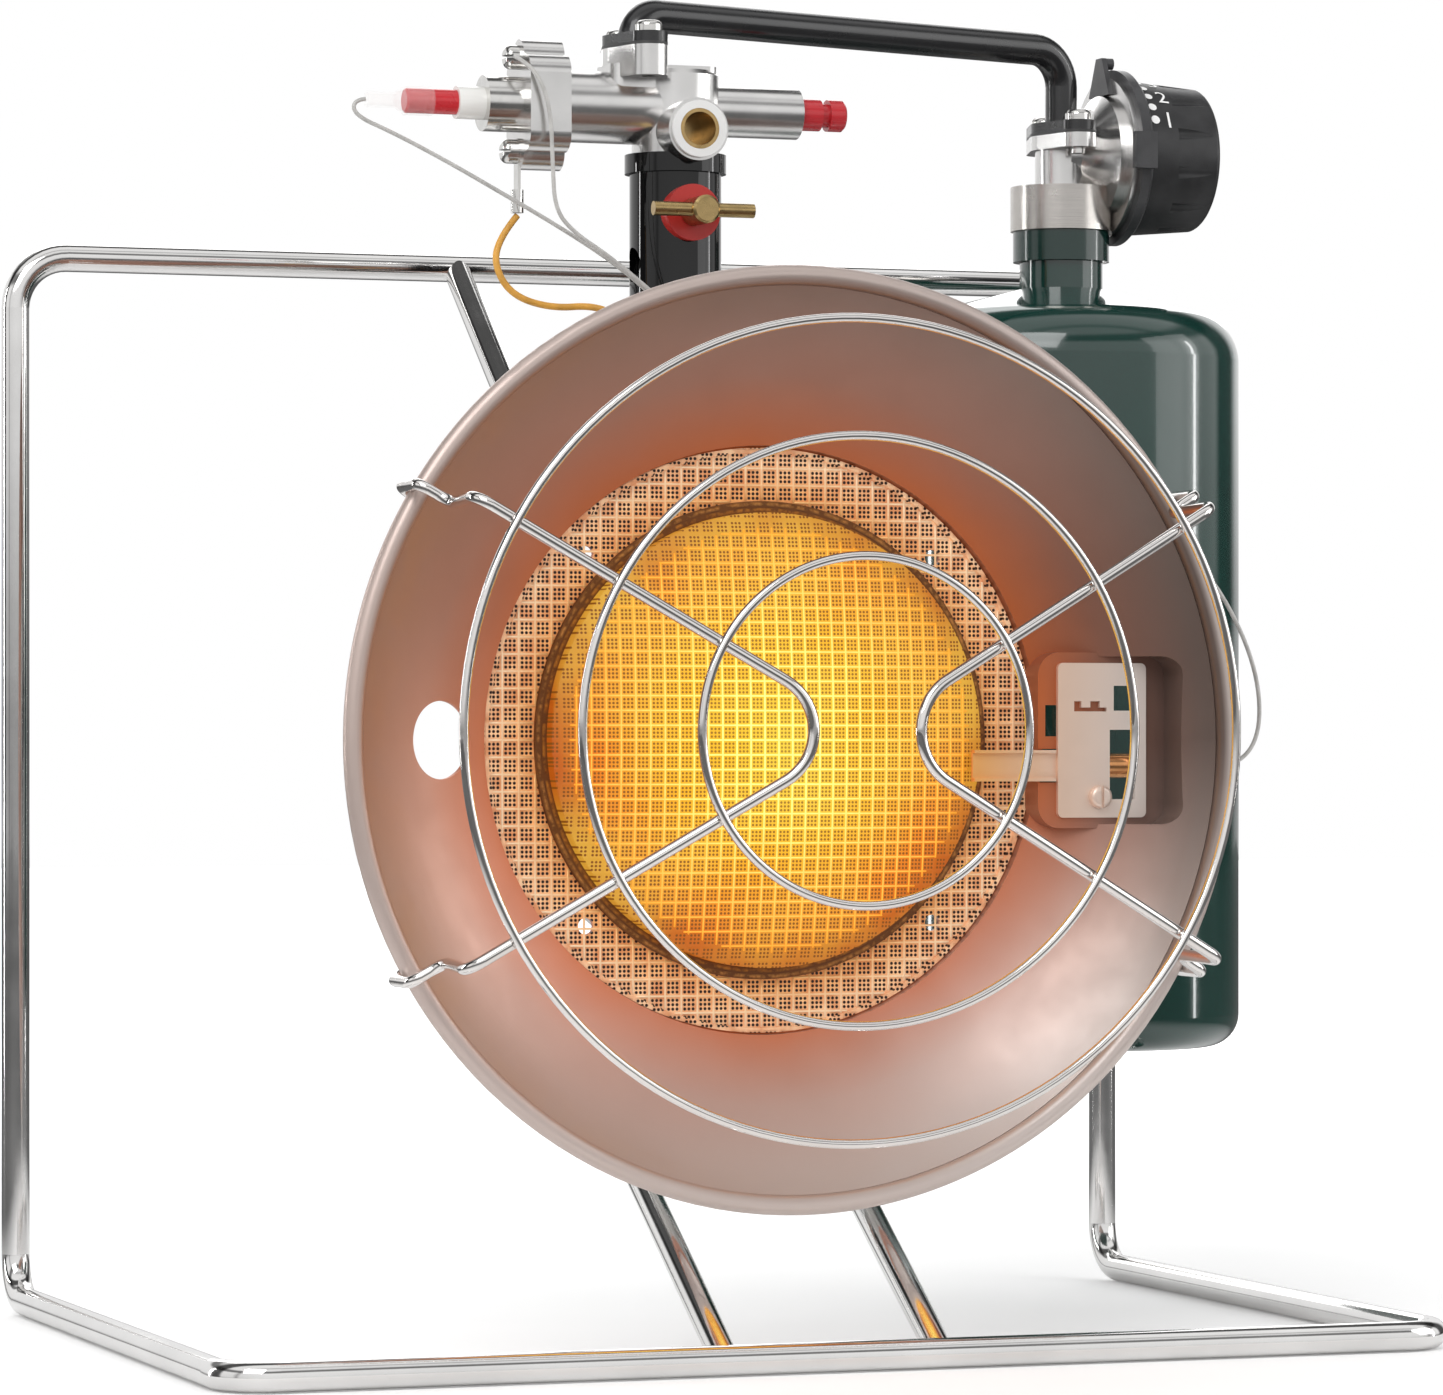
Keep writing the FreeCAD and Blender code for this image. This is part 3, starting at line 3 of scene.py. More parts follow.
import bpy
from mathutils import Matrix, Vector


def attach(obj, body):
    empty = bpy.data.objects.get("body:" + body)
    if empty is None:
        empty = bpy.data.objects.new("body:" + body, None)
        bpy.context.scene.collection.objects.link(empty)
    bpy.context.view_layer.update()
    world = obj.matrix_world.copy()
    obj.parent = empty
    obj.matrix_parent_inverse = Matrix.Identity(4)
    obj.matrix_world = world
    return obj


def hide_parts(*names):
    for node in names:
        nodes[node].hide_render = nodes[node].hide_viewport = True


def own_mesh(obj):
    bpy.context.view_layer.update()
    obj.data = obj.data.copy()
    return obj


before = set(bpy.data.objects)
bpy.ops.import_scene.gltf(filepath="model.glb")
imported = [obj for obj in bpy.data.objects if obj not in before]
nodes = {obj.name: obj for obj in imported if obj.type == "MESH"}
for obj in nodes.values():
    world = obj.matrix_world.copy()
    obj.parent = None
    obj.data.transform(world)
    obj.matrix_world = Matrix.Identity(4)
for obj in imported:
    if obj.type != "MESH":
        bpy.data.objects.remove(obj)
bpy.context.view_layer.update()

# How the design's own coordinates, in millimetres, move into this frame
SHIFT = Vector((-2.75, 10.3625, 0.0))
HEAD = (Vector((-7.0, 0.0, 155.0)) + SHIFT) / 1000
SCREEN_Y = (-59.5 + SHIFT.y) / 1000


def place(x, y, z):
    """A place written in the design's millimetres, in this frame's metres."""
    return (Vector((x, y, z)) + SHIFT) / 1000


def from_head(x, y, z):
    """A place written, as the leads' routes are, from the heater head's middle in X and Z."""
    return HEAD + Vector((x, y, z)) / 1000


# Camera

CAMERA_PLACE = (-533.33, -1507.53, 153.54)
CAMERA_TURN = -19.603
CAMERA_LENS = 151.79
CAMERA_SHIFT_UP = 0.0336


def add_camera():
    data = bpy.data.cameras.new("view")
    data.sensor_width = 36.0
    data.lens = CAMERA_LENS
    data.shift_y = CAMERA_SHIFT_UP
    data.clip_start = 0.05
    camera = bpy.data.objects.new("view", data)
    camera.location = place(*CAMERA_PLACE)
    camera.rotation_euler = (radians(90), 0, radians(CAMERA_TURN))
    bpy.context.scene.collection.objects.link(camera)
    bpy.context.scene.camera = camera


# Materials

class Look:
    """One material, built up node by node round a Principled shader."""

    def __init__(self, name, color, **values):
        self.material = bpy.data.materials.new(name)
        self.material.use_nodes = True
        self.tree = self.material.node_tree
        self.shader = self.tree.nodes["Principled BSDF"]
        self.shader.inputs["Base Color"].default_value = (*color, 1.0)
        for key, value in values.items():
            self.shader.inputs[key.replace("_", " ")].default_value = value
        self.point = self.add("ShaderNodeTexCoord").outputs["Object"]

    def add(self, kind, **settings):
        node = self.tree.nodes.new(kind)
        for key, value in settings.items():
            setattr(node, key, value)
        return node

    def put(self, socket, value):
        if isinstance(value, bpy.types.NodeSocket):
            self.tree.links.new(value, socket)
        else:
            socket.default_value = value

    def math(self, operation, *values):
        node = self.add("ShaderNodeMath", operation=operation)
        for socket, value in zip(node.inputs, values):
            self.put(socket, value)
        return node.outputs[0]

    def vector_math(self, operation, *values):
        node = self.add("ShaderNodeVectorMath", operation=operation)
        for socket, value in zip(node.inputs, values):
            self.put(socket, value)
        return node.outputs["Value" if operation in ("LENGTH", "DOT_PRODUCT") else "Vector"]

    def split(self, vector=None):
        node = self.add("ShaderNodeSeparateXYZ")
        self.put(node.inputs[0], vector or self.point)
        return node.outputs

    def stretched(self, x, y, z):
        return self.vector_math("MULTIPLY", self.point, (x, y, z))

    def noise(self, scale, detail=3.0, roughness=0.5, vector=None):
        node = self.add("ShaderNodeTexNoise")
        self.put(node.inputs["Vector"], vector or self.point)
        node.inputs["Scale"].default_value = scale
        node.inputs["Detail"].default_value = detail
        node.inputs["Roughness"].default_value = roughness
        return node.outputs["Fac"]

    def ramp(self, factor, *stops):
        """A colour ramp; each stop is a position and a colour or a grey level."""
        node = self.add("ShaderNodeValToRGB")
        elements = node.color_ramp.elements
        while len(elements) < len(stops):
            elements.new(0.5)
        for element, (position, value) in zip(elements, stops):
            element.position = position
            element.color = (value,) * 3 + (1.0,) if isinstance(value, float) else (*value, 1.0)
        self.put(node.inputs[0], factor)
        return node.outputs[0]

    def level(self, factor, low, high, at_low=0.0, at_high=1.0):
        """Turns a value between low and high into one between two others, held at the ends."""
        node = self.add("ShaderNodeMapRange")
        for name, value in (("Value", factor), ("From Min", low), ("From Max", high),
                            ("To Min", at_low), ("To Max", at_high)):
            self.put(node.inputs[name], value)
        return node.outputs[0]

    def mix(self, factor, a, b):
        node = self.add("ShaderNodeMix", data_type="RGBA")
        for socket, value in zip((node.inputs[0], node.inputs[6], node.inputs[7]), (factor, a, b)):
            if isinstance(value, tuple) and len(value) == 3:
                value = (*value, 1.0)
            self.put(socket, value)
        return node.outputs[2]

    def base(self, value):
        self.put(self.shader.inputs["Base Color"], value)

    def rough(self, value):
        self.put(self.shader.inputs["Roughness"], value)

    def bump(self, height, strength, distance):
        node = self.add("ShaderNodeBump")
        node.inputs["Strength"].default_value = strength
        node.inputs["Distance"].default_value = distance
        self.put(node.inputs["Height"], height)
        previous = self.shader.inputs["Normal"].links
        if previous:
            self.put(node.inputs["Normal"], previous[0].from_socket)
        self.put(self.shader.inputs["Normal"], node.outputs[0])

    def smudges(self, low, high, scale=60.0):
        self.rough(self.level(self.noise(scale, 5.0, 0.6), 0.3, 0.7, low, high))

    def from_head_axis(self):
        """Distance from the heater head's axis, in metres."""
        x, _, z = self.split()
        dx = self.math("SUBTRACT", x, HEAD.x)
        dz = self.math("SUBTRACT", z, HEAD.z)
        squares = self.math("ADD", self.math("MULTIPLY", dx, dx), self.math("MULTIPLY", dz, dz))
        return self.math("SQRT", squares)

    def as_vector(self, value):
        """A vector with this value as its X."""
        node = self.add("ShaderNodeCombineXYZ")
        self.put(node.inputs[0], value)
        return node.outputs[0]


def chrome_look(name, color=(0.86, 0.85, 0.84), low=0.04, high=0.13):
    """Bright drawn rod: a faint grain and smudges."""
    look = Look(name, color, Metallic=1.0)
    look.smudges(low, high)
    grain = look.noise(900.0, 2.0, 0.5, look.stretched(1.0, 1.0, 0.15))
    look.bump(grain, 0.04, 0.0002)
    tone = look.noise(35.0, 3.0)
    look.base(look.ramp(tone, (0.3, tuple(c * 0.9 for c in color)), (0.7, color)))
    return look


def plated_look(name, color, low=0.2, high=0.38):
    """Zinc plating: a cloudy tone and a fine grain."""
    look = Look(name, color, Metallic=1.0)
    look.smudges(low, high, 90.0)
    cloud = look.noise(130.0, 4.0, 0.6)
    look.base(look.ramp(cloud, (0.3, tuple(c * 0.78 for c in color)), (0.7, color)))
    look.bump(look.noise(1400.0, 3.0), 0.12, 0.0002)
    return look


def cast_look(name, color):
    """Die-cast and polished over: a satin surface, slightly uneven and finely pitted."""
    look = Look(name, color, Metallic=1.0)
    look.smudges(0.19, 0.26, 60.0)
    look.bump(look.noise(2600.0, 4.0, 0.7), 0.04, 0.0002)
    waves = look.noise(90.0, 2.0)
    look.bump(waves, 0.03, 0.0008)
    look.base(look.ramp(waves, (0.25, tuple(c * 0.88 for c in color)), (0.75, color)))
    return look


def turned_look(name, color, axis, low=0.16, high=0.3, stain=0.7):
    """Turned brass or steel: fine rings square to one axis."""
    look = Look(name, color, Metallic=1.0)
    look.smudges(low, high, 150.0)
    stretch = [60.0, 60.0, 60.0]
    stretch[axis] = 4000.0
    rings = look.noise(1.0, 3.0, 0.6, look.stretched(*stretch))
    look.bump(rings, 0.14, 0.00012)
    patina = look.noise(220.0, 4.0, 0.6)
    look.base(look.ramp(patina, (0.3, tuple(c * stain for c in color)), (0.62, color)))
    return look


# The reflector's painted light and shade from its left, by way of the bottom, the right and the top: a
# painted pale highlight at the lower right and painted shade at the right
REFLECTOR_PAINTED_LIGHT = (
    (0.0, (0.40, 0.245, 0.19)), (0.12, (0.46, 0.34, 0.30)), (0.27, (0.52, 0.43, 0.39)),
    (0.36, (0.60, 0.53, 0.50)), (0.44, (0.30, 0.24, 0.215)), (0.5, (0.15, 0.112, 0.098)),
    (0.57, (0.155, 0.115, 0.10)), (0.66, (0.25, 0.175, 0.15)), (0.78, (0.27, 0.185, 0.155)),
    (0.9, (0.36, 0.22, 0.175)), (1.0, (0.40, 0.245, 0.19)))
# Radii of the orange near the burner, part heat discolouration and part painted burner light
TINT_GLOW_START_R = 0.068
TINT_GLOW_END_R = 0.116
ROLLED_START_R = 0.1142
ROLLED_END_R = 0.1156
# How much of the orange and the painted glow the surface facing the back keeps
BACK_TINT_GLOW = 0.12


def reflector_look():
    """Spun sheet: rings from spinning, painted light and shade that go round it, and near the burner an
    orange that is part heat discolouration, part painted burner light with a painted glow.

    The orange and the painted glow are weaker on the surface that faces the back.
    """
    look = Look("reflector_sheet", (0.6, 0.5, 0.45), Metallic=0.5)
    radius = look.from_head_axis()
    x, _, z = look.split()
    turn = look.math("ARCTAN2", look.math("SUBTRACT", z, HEAD.z), look.math("SUBTRACT", x, HEAD.x))
    # Painted light and shade round the sheet, with a painted highlight at the lower right
    tone = look.ramp(look.level(turn, -pi, pi), *REFLECTOR_PAINTED_LIGHT)
    # Near the burner: part heat discolouration, part painted burner light
    heat = look.ramp(look.level(radius, TINT_GLOW_START_R, TINT_GLOW_END_R),
                     (0.0, 1.0), (0.18, 0.7), (0.5, 0.24), (0.9, 0.0))
    cloud = look.level(look.noise(26.0, 3.0), 0.3, 0.7, 0.84, 1.06)
    facing = look.add("ShaderNodeSeparateXYZ")
    look.put(facing.inputs[0], look.add("ShaderNodeNewGeometry").outputs["True Normal"])
    # Painted burner light: weaker on the surface that faces the back
    heat = look.math("MULTIPLY", heat, look.level(facing.outputs[1], -0.1, 0.1, 1.0, BACK_TINT_GLOW))
    tone_and_glow_colour = look.mix(look.math("MULTIPLY", heat, cloud), tone, (0.55, 0.125, 0.024))
    rolled = look.level(radius, ROLLED_START_R, ROLLED_END_R)
    look.base(look.mix(look.math("MULTIPLY", rolled, 0.65), tone_and_glow_colour, (0.66, 0.57, 0.53)))
    look.smudges(0.33, 0.46, 70.0)
    rings = look.noise(1400.0, 2.0, 0.5, look.as_vector(radius))
    look.bump(rings, 0.06, 0.0003)
    look.bump(look.noise(55.0, 2.0), 0.1, 0.0015)
    # A painted orange glow on the sheet, which is no lamp
    look.put(look.shader.inputs["Emission Color"], (0.9, 0.17, 0.02, 1.0))
    look.put(look.shader.inputs["Emission Strength"], look.math("MULTIPLY", heat, 0.09))
    return look


# Shares of one cell of the mesh: the bare edge, the part that holds the holes, and how soft a hole is
CELL_RIB_START = 0.07
CELL_RIB_END = 0.12
CELL_MARGIN = 0.11
CELL_INNER = 0.78
HOLE_SOFTNESS = 0.12


SCREEN_PITCH = 0.0043
DOME_PITCH = 0.0037
HOLES_ACROSS = 3.0


def hole_cells(look, pitch, holes, share):
    """Groups of small square-set holes, each group within one cell of a grid: (hole, rib) masks."""
    x, _, z = look.split()
    masks = []
    ribs = []
    for value, centre in ((x, HEAD.x), (z, HEAD.z)):
        from_centre = look.math("SUBTRACT", value, centre)
        in_cell = look.math("FRACT", look.math("DIVIDE", from_centre, pitch))
        from_middle = look.math("ABSOLUTE", look.math("SUBTRACT", in_cell, 0.5))
        from_edge = look.math("SUBTRACT", 0.5, from_middle)
        ribs.append(look.level(from_edge, CELL_RIB_START, CELL_RIB_END, 1.0, 0.0))
        inner = look.math("DIVIDE", look.math("SUBTRACT", in_cell, CELL_MARGIN), CELL_INNER)
        fine = look.math("FRACT", look.math("MULTIPLY", inner, holes))
        masks.append(look.math("ABSOLUTE", look.math("SUBTRACT", fine, 0.5)))
    across = look.math("SQRT", look.math("ADD", look.math("MULTIPLY", masks[0], masks[0]),
                                         look.math("MULTIPLY", masks[1], masks[1])))
    hole = look.level(across, share, share + HOLE_SOFTNESS, 1.0, 0.0)
    rib = look.math("MAXIMUM", ribs[0], ribs[1])
    hole = look.math("MULTIPLY", hole, look.math("SUBTRACT", 1.0, rib))
    return hole, rib


def screen_look():
    """Perforated sheet with the burner's light painted on it, orange near the dome and cream further out,
    a painted glow, and dark holes in groups of nine painted as shade.
    """
    look = Look("burner_screen", (0.9, 0.6, 0.4), Roughness=0.42)
    hole, rib = hole_cells(look, SCREEN_PITCH, HOLES_ACROSS, 0.3)
    radius = look.from_head_axis()
    # Painted burner light: orange near the dome, cream further out
    warm = look.ramp(look.level(radius, 0.056, 0.074), (0.0, (0.84, 0.24, 0.03)),
                     (0.4, (0.90, 0.46, 0.17)), (1.0, (0.92, 0.60, 0.36)))
    mottled = look.mix(look.level(look.noise(180.0, 3.0), 0.35, 0.65), warm, (0.62, 0.20, 0.06))
    # The holes are painted near-black as shade
    look.base(look.mix(hole, mottled, (0.02, 0.004, 0.001)))
    look.bump(look.math("SUBTRACT", rib, look.math("MULTIPLY", hole, 1.5)), 0.6, 0.0004)
    # A painted glow of the burner's light; the sheet is no lamp
    look.put(look.shader.inputs["Emission Color"], look.mix(hole, warm, (0.0, 0.0, 0.0)))
    look.put(look.shader.inputs["Emission Strength"], 0.2)
    return look


def dome_look():
    """The glowing dome: yellow in the middle, orange at its edge, with fine dark holes painted as shade.
    """
    look = Look("burner_dome", (0.35, 0.16, 0.01), Roughness=0.6)
    hole, rib = hole_cells(look, DOME_PITCH, HOLES_ACROSS, 0.26)
    radius = look.from_head_axis()
    glow = look.ramp(look.level(radius, 0.0, DOME_R), (0.0, (1.0, 0.66, 0.03)),
                     (0.5, (1.0, 0.48, 0.006)), (0.8, (0.88, 0.24, 0.002)), (1.0, (0.52, 0.10, 0.001)))
    patch = look.level(look.noise(30.0, 2.0), 0.35, 0.7)
    glow = look.mix(look.math("MULTIPLY", patch, 0.55), glow, (1.0, 0.74, 0.08))
    hole_shade_share = look.level(radius, 0.0, 0.055, 0.7, 1.0)
    # The holes are painted dark as shade, a little less dark in the middle
    lit = look.mix(look.math("MULTIPLY", hole, hole_shade_share), glow, (0.24, 0.07, 0.001))
    look.base(look.mix(0.7, lit, (0.0, 0.0, 0.0)))
    look.put(look.shader.inputs["Emission Color"], lit)
    look.put(look.shader.inputs["Emission Strength"], 0.72)
    look.bump(look.math("SUBTRACT", rib, hole), 0.4, 0.0003)
    return look


def rib_look(name, inner, outer, reach, strength):
    """The wires of the mesh, painted as lit from below by the burner, with a glow that is painted on the
    screen's wires; their colour goes from the middle outward.
    """
    look = Look(name, outer, Roughness=0.35, Metallic=0.2)
    radius = look.from_head_axis()
    grain = look.level(look.noise(420.0, 2.0), 0.3, 0.7, 0.85, 1.0)
    # Painted burner light: the colour changes with distance from the burner's middle
    colour = look.ramp(look.level(radius, reach[0], reach[1]), (0.0, inner), (1.0, outer))
    colour = look.mix(grain, (0.35, 0.10, 0.01), colour)
    look.base(colour)
    # A glow: the dome's wires glow with the burner, the screen's wires get a painted glow
    look.put(look.shader.inputs["Emission Color"], colour)
    look.put(look.shader.inputs["Emission Strength"], strength)
    look.bump(look.noise(1500.0, 2.0), 0.1, 0.0001)
    return look


def hot_steel_look():
    """The dome's foot: folded mesh that reads as two dark lines, painted shade in its folds, with an
    orange one between, painted light from the burner.
    """
    look = Look("hot_steel", (0.30, 0.15, 0.05), Metallic=0.3)
    band = look.level(look.from_head_axis(), 0.0575, 0.0605)
    # Painted shade in the folds as dark lines, painted burner light as orange between
    lines = look.ramp(band, (0.0, (0.10, 0.03, 0.004)), (0.3, (0.52, 0.20, 0.02)),
                      (0.5, (0.07, 0.02, 0.003)), (0.75, (0.56, 0.24, 0.05)), (1.0, (0.12, 0.035, 0.006)))
    broken = look.level(look.noise(620.0, 3.0), 0.35, 0.6)
    look.base(look.mix(broken, lines, (0.16, 0.055, 0.008)))
    look.smudges(0.4, 0.6)
    look.bump(look.noise(900.0, 3.0), 0.35, 0.0004)
    return look


def plate_look():
    """Pale satin steel that takes the burner's warm light on its left."""
    look = Look("plate_steel", (0.86, 0.74, 0.66), Metallic=0.55)
    x = look.split()[0]
    outward = look.level(x, HEAD.x + 0.055, HEAD.x + 0.098)
    colour = look.ramp(outward, (0.0, (0.95, 0.48, 0.16)), (0.5, (0.86, 0.62, 0.48)),
                       (1.0, (0.84, 0.74, 0.68)))
    look.base(colour)
    look.smudges(0.28, 0.42, 140.0)
    look.bump(look.noise(1.0, 2.0, 0.5, look.stretched(300.0, 300.0, 4000.0)), 0.07, 0.0001)
    return look


def gloss_look(name, color, low, high, coat=0.6, orange_peel=0.05):
    """Paint or moulded plastic with a clear gloss and a slight orange peel."""
    look = Look(name, color)
    look.put(look.shader.inputs["Coat Weight"], coat)
    look.put(look.shader.inputs["Coat Roughness"], 0.05)
    look.smudges(low, high, 45.0)
    look.bump(look.noise(520.0, 2.0), orange_peel, 0.0003)
    tone = look.noise(30.0, 3.0)
    look.base(look.ramp(tone, (0.3, tuple(c * 0.82 for c in color)), (0.7, color)))
    return look


def moulded_look(name, color, low=0.34, high=0.5, grain=0.25):
    """Moulded plastic with a fine spark-eroded texture."""
    look = Look(name, color)
    look.smudges(low, high, 80.0)
    look.bump(look.noise(3200.0, 3.0, 0.6), grain, 0.0002)
    worn = look.noise(140.0, 4.0)
    look.base(look.ramp(worn, (0.35, color), (0.8, tuple(min(1.0, c * 1.5 + 0.01) for c in color))))
    return look


def clear_look():
    """A thin clear sleeve, so that what it covers shows through."""
    look = Look("clear_sleeve", (0.90, 0.86, 0.84), Alpha=0.09, IOR=1.4)
    look.smudges(0.06, 0.14)
    look.bump(look.noise(700.0, 2.0), 0.05, 0.0002)
    return look


def lead_look(name, color, rough):
    """Braided or moulded sleeving: a fine cross-wound texture."""
    look = Look(name, color)
    look.smudges(rough - 0.06, rough + 0.06, 200.0)
    weave = look.add("ShaderNodeTexWave", wave_type="BANDS", bands_direction="DIAGONAL")
    look.put(weave.inputs["Vector"], look.point)
    weave.inputs["Scale"].default_value = 900.0
    look.bump(weave.outputs["Fac"], 0.12, 0.00015)
    tone = look.noise(260.0, 3.0)
    look.base(look.ramp(tone, (0.3, tuple(c * 0.75 for c in color)), (0.7, color)))
    return look


def dress(names, look):
    """Gives CAD nodes one look."""
    for name in names:
        materials = nodes[name].data.materials
        materials.clear()
        materials.append(look.material)


# Geometry helpers

def mesh_piece(name, vertices, faces, body, look, smooth=True):
    mesh = bpy.data.meshes.new(name)
    mesh.from_pydata(vertices, [], faces)
    mesh.validate()
    mesh.polygons.foreach_set("use_smooth", [smooth] * len(mesh.polygons))
    piece = bpy.data.objects.new(name, mesh)
    bpy.context.scene.collection.objects.link(piece)
    mesh.materials.append(look.material)
    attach(piece, body)
    return piece


def add_tube(vertices, faces, path, radius, sides, side_axis):
    """Adds a thin round wire along points; side_axis is never parallel to the wire."""
    start = len(vertices)
    count = len(path)
    for i, point in enumerate(path):
        heading = (path[min(i + 1, count - 1)] - path[max(i - 1, 0)]).normalized()
        across = heading.cross(side_axis).normalized()
        up = across.cross(heading).normalized()
        for k in range(sides):
            a = 2 * pi * k / sides
            vertices.append(point + across * (radius * cos(a)) + up * (radius * sin(a)))
    for i in range(count - 1):
        for k in range(sides):
            a = start + i * sides + k
            b = start + i * sides + (k + 1) % sides
            faces.append((a, b, b + sides, a + sides))
    faces.append(tuple(start + k for k in range(sides))[::-1])
    faces.append(tuple(start + (count - 1) * sides + k for k in range(sides)))


# Burner mesh

DOME_R = 0.0575
DOME_SHOULDER = 0.004
DOME_SHOULDER_DROP = 0.0015
DOME_REACH = DOME_R - DOME_SHOULDER
DOME_EDGE = 0.0075
DOME_CROWN = 0.013
DOME_WIRE_R = 0.00022
DOME_WIRE_LIFT = 0.00012
SCREEN_WIRE_R = 0.0003
SCREEN_WIRE_LIFT = 0.0002
SCREEN_INNER_R = 0.0608
SCREEN_OUTER_R = 0.0726
LAYER_STEP = 0.00008
WIRE_STEP = 0.003
WIRE_SIDES = 5
CROWN_R = (DOME_REACH ** 2 + (DOME_CROWN - DOME_EDGE) ** 2) / (2 * (DOME_CROWN - DOME_EDGE))


def dome_height(radius):
    """How far the dome's surface stands in front of the screen at one radius."""
    if radius <= DOME_REACH:
        return DOME_CROWN - CROWN_R + sqrt(CROWN_R ** 2 - radius ** 2)
    return DOME_EDGE - DOME_SHOULDER_DROP * min(1.0, (radius - DOME_REACH) / (DOME_R - DOME_REACH))


def grid_wires(name, pitch, wire_r, inner_r, outer_r, height, lift, look):
    """Two crossing sets of wires between two radii, laid on a surface round the head's axis."""
    vertices, faces = [], []
    lines = int(outer_r / pitch) + 1
    for direction in (0, 1):
        for k in range(-lines, lines + 1):
            offset = k * pitch
            for span in line_spans(offset, inner_r, outer_r):
                steps = max(2, int((span[1] - span[0]) / WIRE_STEP))
                path = []
                for i in range(steps + 1):
                    along = span[0] + (span[1] - span[0]) * i / steps
                    x, z = (along, offset) if direction == 0 else (offset, along)
                    r = sqrt(x * x + z * z)
                    y = SCREEN_Y - height(r) - lift - LAYER_STEP * direction
                    path.append(Vector((HEAD.x + x, y, HEAD.z + z)))
                add_tube(vertices, faces, path, wire_r, WIRE_SIDES, Vector((0, 1, 0)))
    return mesh_piece(name, vertices, faces, "heater", look)


SLIVER = 0.0004


def line_spans(offset, inner_r, outer_r):
    """The parts of a straight line that lie between two circles; a sliver at the edge is left out."""
    if abs(offset) >= outer_r - SLIVER:
        return []
    far = sqrt(outer_r ** 2 - offset ** 2)
    if abs(offset) >= inner_r:
        return [(-far, far)]
    near = sqrt(inner_r ** 2 - offset ** 2)
    return [(-far, -near), (near, far)]


# Leads

def lead_cord(name, route, diameter, look):
    """A lead as a smooth line whose control points are its route."""
    curve = bpy.data.curves.new(name, "CURVE")
    curve.dimensions = "3D"
    curve.bevel_depth = diameter / 2
    curve.bevel_resolution = 4
    curve.resolution_u = 10
    spline = curve.splines.new("NURBS")
    spline.points.add(len(route) - 1)
    for point, position in zip(spline.points, route):
        point.co = (*from_head(*position), 1.0)
    spline.order_u = 3
    spline.use_endpoint_u = True
    piece = bpy.data.objects.new(name, curve)
    bpy.context.scene.collection.objects.link(piece)
    curve.materials.append(look.material)
    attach(piece, "heater")
    return piece


# The routes that part.py gives the leads, from the heater head's middle in X and Z
IGNITER_LEAD = [
    (-84.9, 6.6, 166.0), (-88.2, 6.4, 165.6), (-88.0, 6.0, 161.6), (-78.0, 5.0, 157.4),
    (-63.5, 3.0, 150.0), (-49.0, 0.0, 141.6), (-36.5, -3.0, 134.2), (-24.5, -7.5, 126.0),
    (-14.5, -13.0, 117.0),
    (-1.0, -20.0, 101.0), (20.0, -24.0, 83.0), (47.0, -22.0, 61.0), (69.0, -24.0, 31.0),
    (79.0, -34.0, 5.0), (87.0, -48.0, -9.0), (88.0, -65.2, -14.5)]

SENSOR_LEAD = [
    (-45.4, 2.9, 178.0), (-45.6, -3.4, 176.6), (-41.6, -6.4, 172.0), (-38.8, -6.8, 163.0),
    (-38.5, -7.4, 149.0), (-38.2, -8.4, 137.5), (-33.6, -10.2, 131.5), (-25.5, -12.2, 126.0),
    (-16.5, -14.5, 118.6),
    (-4.0, -18.0, 107.0), (19.0, -27.0, 101.0), (57.0, -34.0, 92.0), (95.0, -46.0, 73.0),
    (123.0, -56.0, 48.0), (136.5, -61.0, 22.0), (138.0, -62.0, 0.0), (126.0, -64.5, -8.5),
    (110.8, -65.8, -6.5)]

EARTH_LEAD = [
    (-43.7, 6.6, 137.0), (-48.0, 6.2, 132.0), (-50.8, 5.0, 124.5), (-46.5, 3.6, 116.0),
    (-36.0, 1.5, 112.6), (-24.5, -1.0, 113.6), (-17.0, -5.5, 109.0), (-14.5, -11.0, 95.0),
    (-15.0, -18.0, 77.0), (-15.0, -25.5, 60.0), (-13.0, -25.9, 49.0)]


def add_leads():
    grey = lead_look("lead_grey", (0.55, 0.54, 0.52), 0.36)
    orange = lead_look("lead_orange", (0.80, 0.40, 0.06), 0.42)
    igniter = lead_cord("igniter_lead_line", IGNITER_LEAD, 0.0011, grey)
    sensor = lead_cord("sensor_lead_line", SENSOR_LEAD, 0.0011, grey)
    earth = lead_cord("earth_lead_line", EARTH_LEAD, 0.0018, orange)
    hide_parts("igniter_lead")
    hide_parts("sensor_lead")
    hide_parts("earth_lead")


# Button spring

SPRING_START = place(3.48, 6.6, 321.0)
SPRING_TURNS = 4
SPRING_PITCH = 0.00346
SPRING_R = 0.0028
SPRING_WIRE_R = 0.00035
COIL_STEPS = 40
COIL_SIDES = 12


def add_spring(look):
    """The return spring's coil, at one length; the real coil shortens as the button goes in."""
    path = []
    steps = SPRING_TURNS * COIL_STEPS
    for i in range(steps + 1):
        turn = SPRING_TURNS * i / steps
        a = 2 * pi * turn
        path.append(SPRING_START + Vector((SPRING_PITCH * turn, SPRING_R * cos(a), SPRING_R * sin(a))))
    vertices, faces = [], []
    add_tube(vertices, faces, path, SPRING_WIRE_R, COIL_SIDES, Vector((1, 0, 0)))
    spring = mesh_piece("return_spring", vertices, faces, "heater", look)
    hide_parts("button_spring")
    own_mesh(spring)
    return spring


# Knob markings

KNOB_X = place(138.5, 0, 0).x
KNOB_AXIS = place(0, 47.6, 316.7)
MARK_LIFT = 0.00015

# The cone that the marks lie on, close to the knob's own side
MARK_CONE_R = 0.0215
MARK_CONE_END_R = 0.0198
MARK_CONE_LENGTH = 0.0203

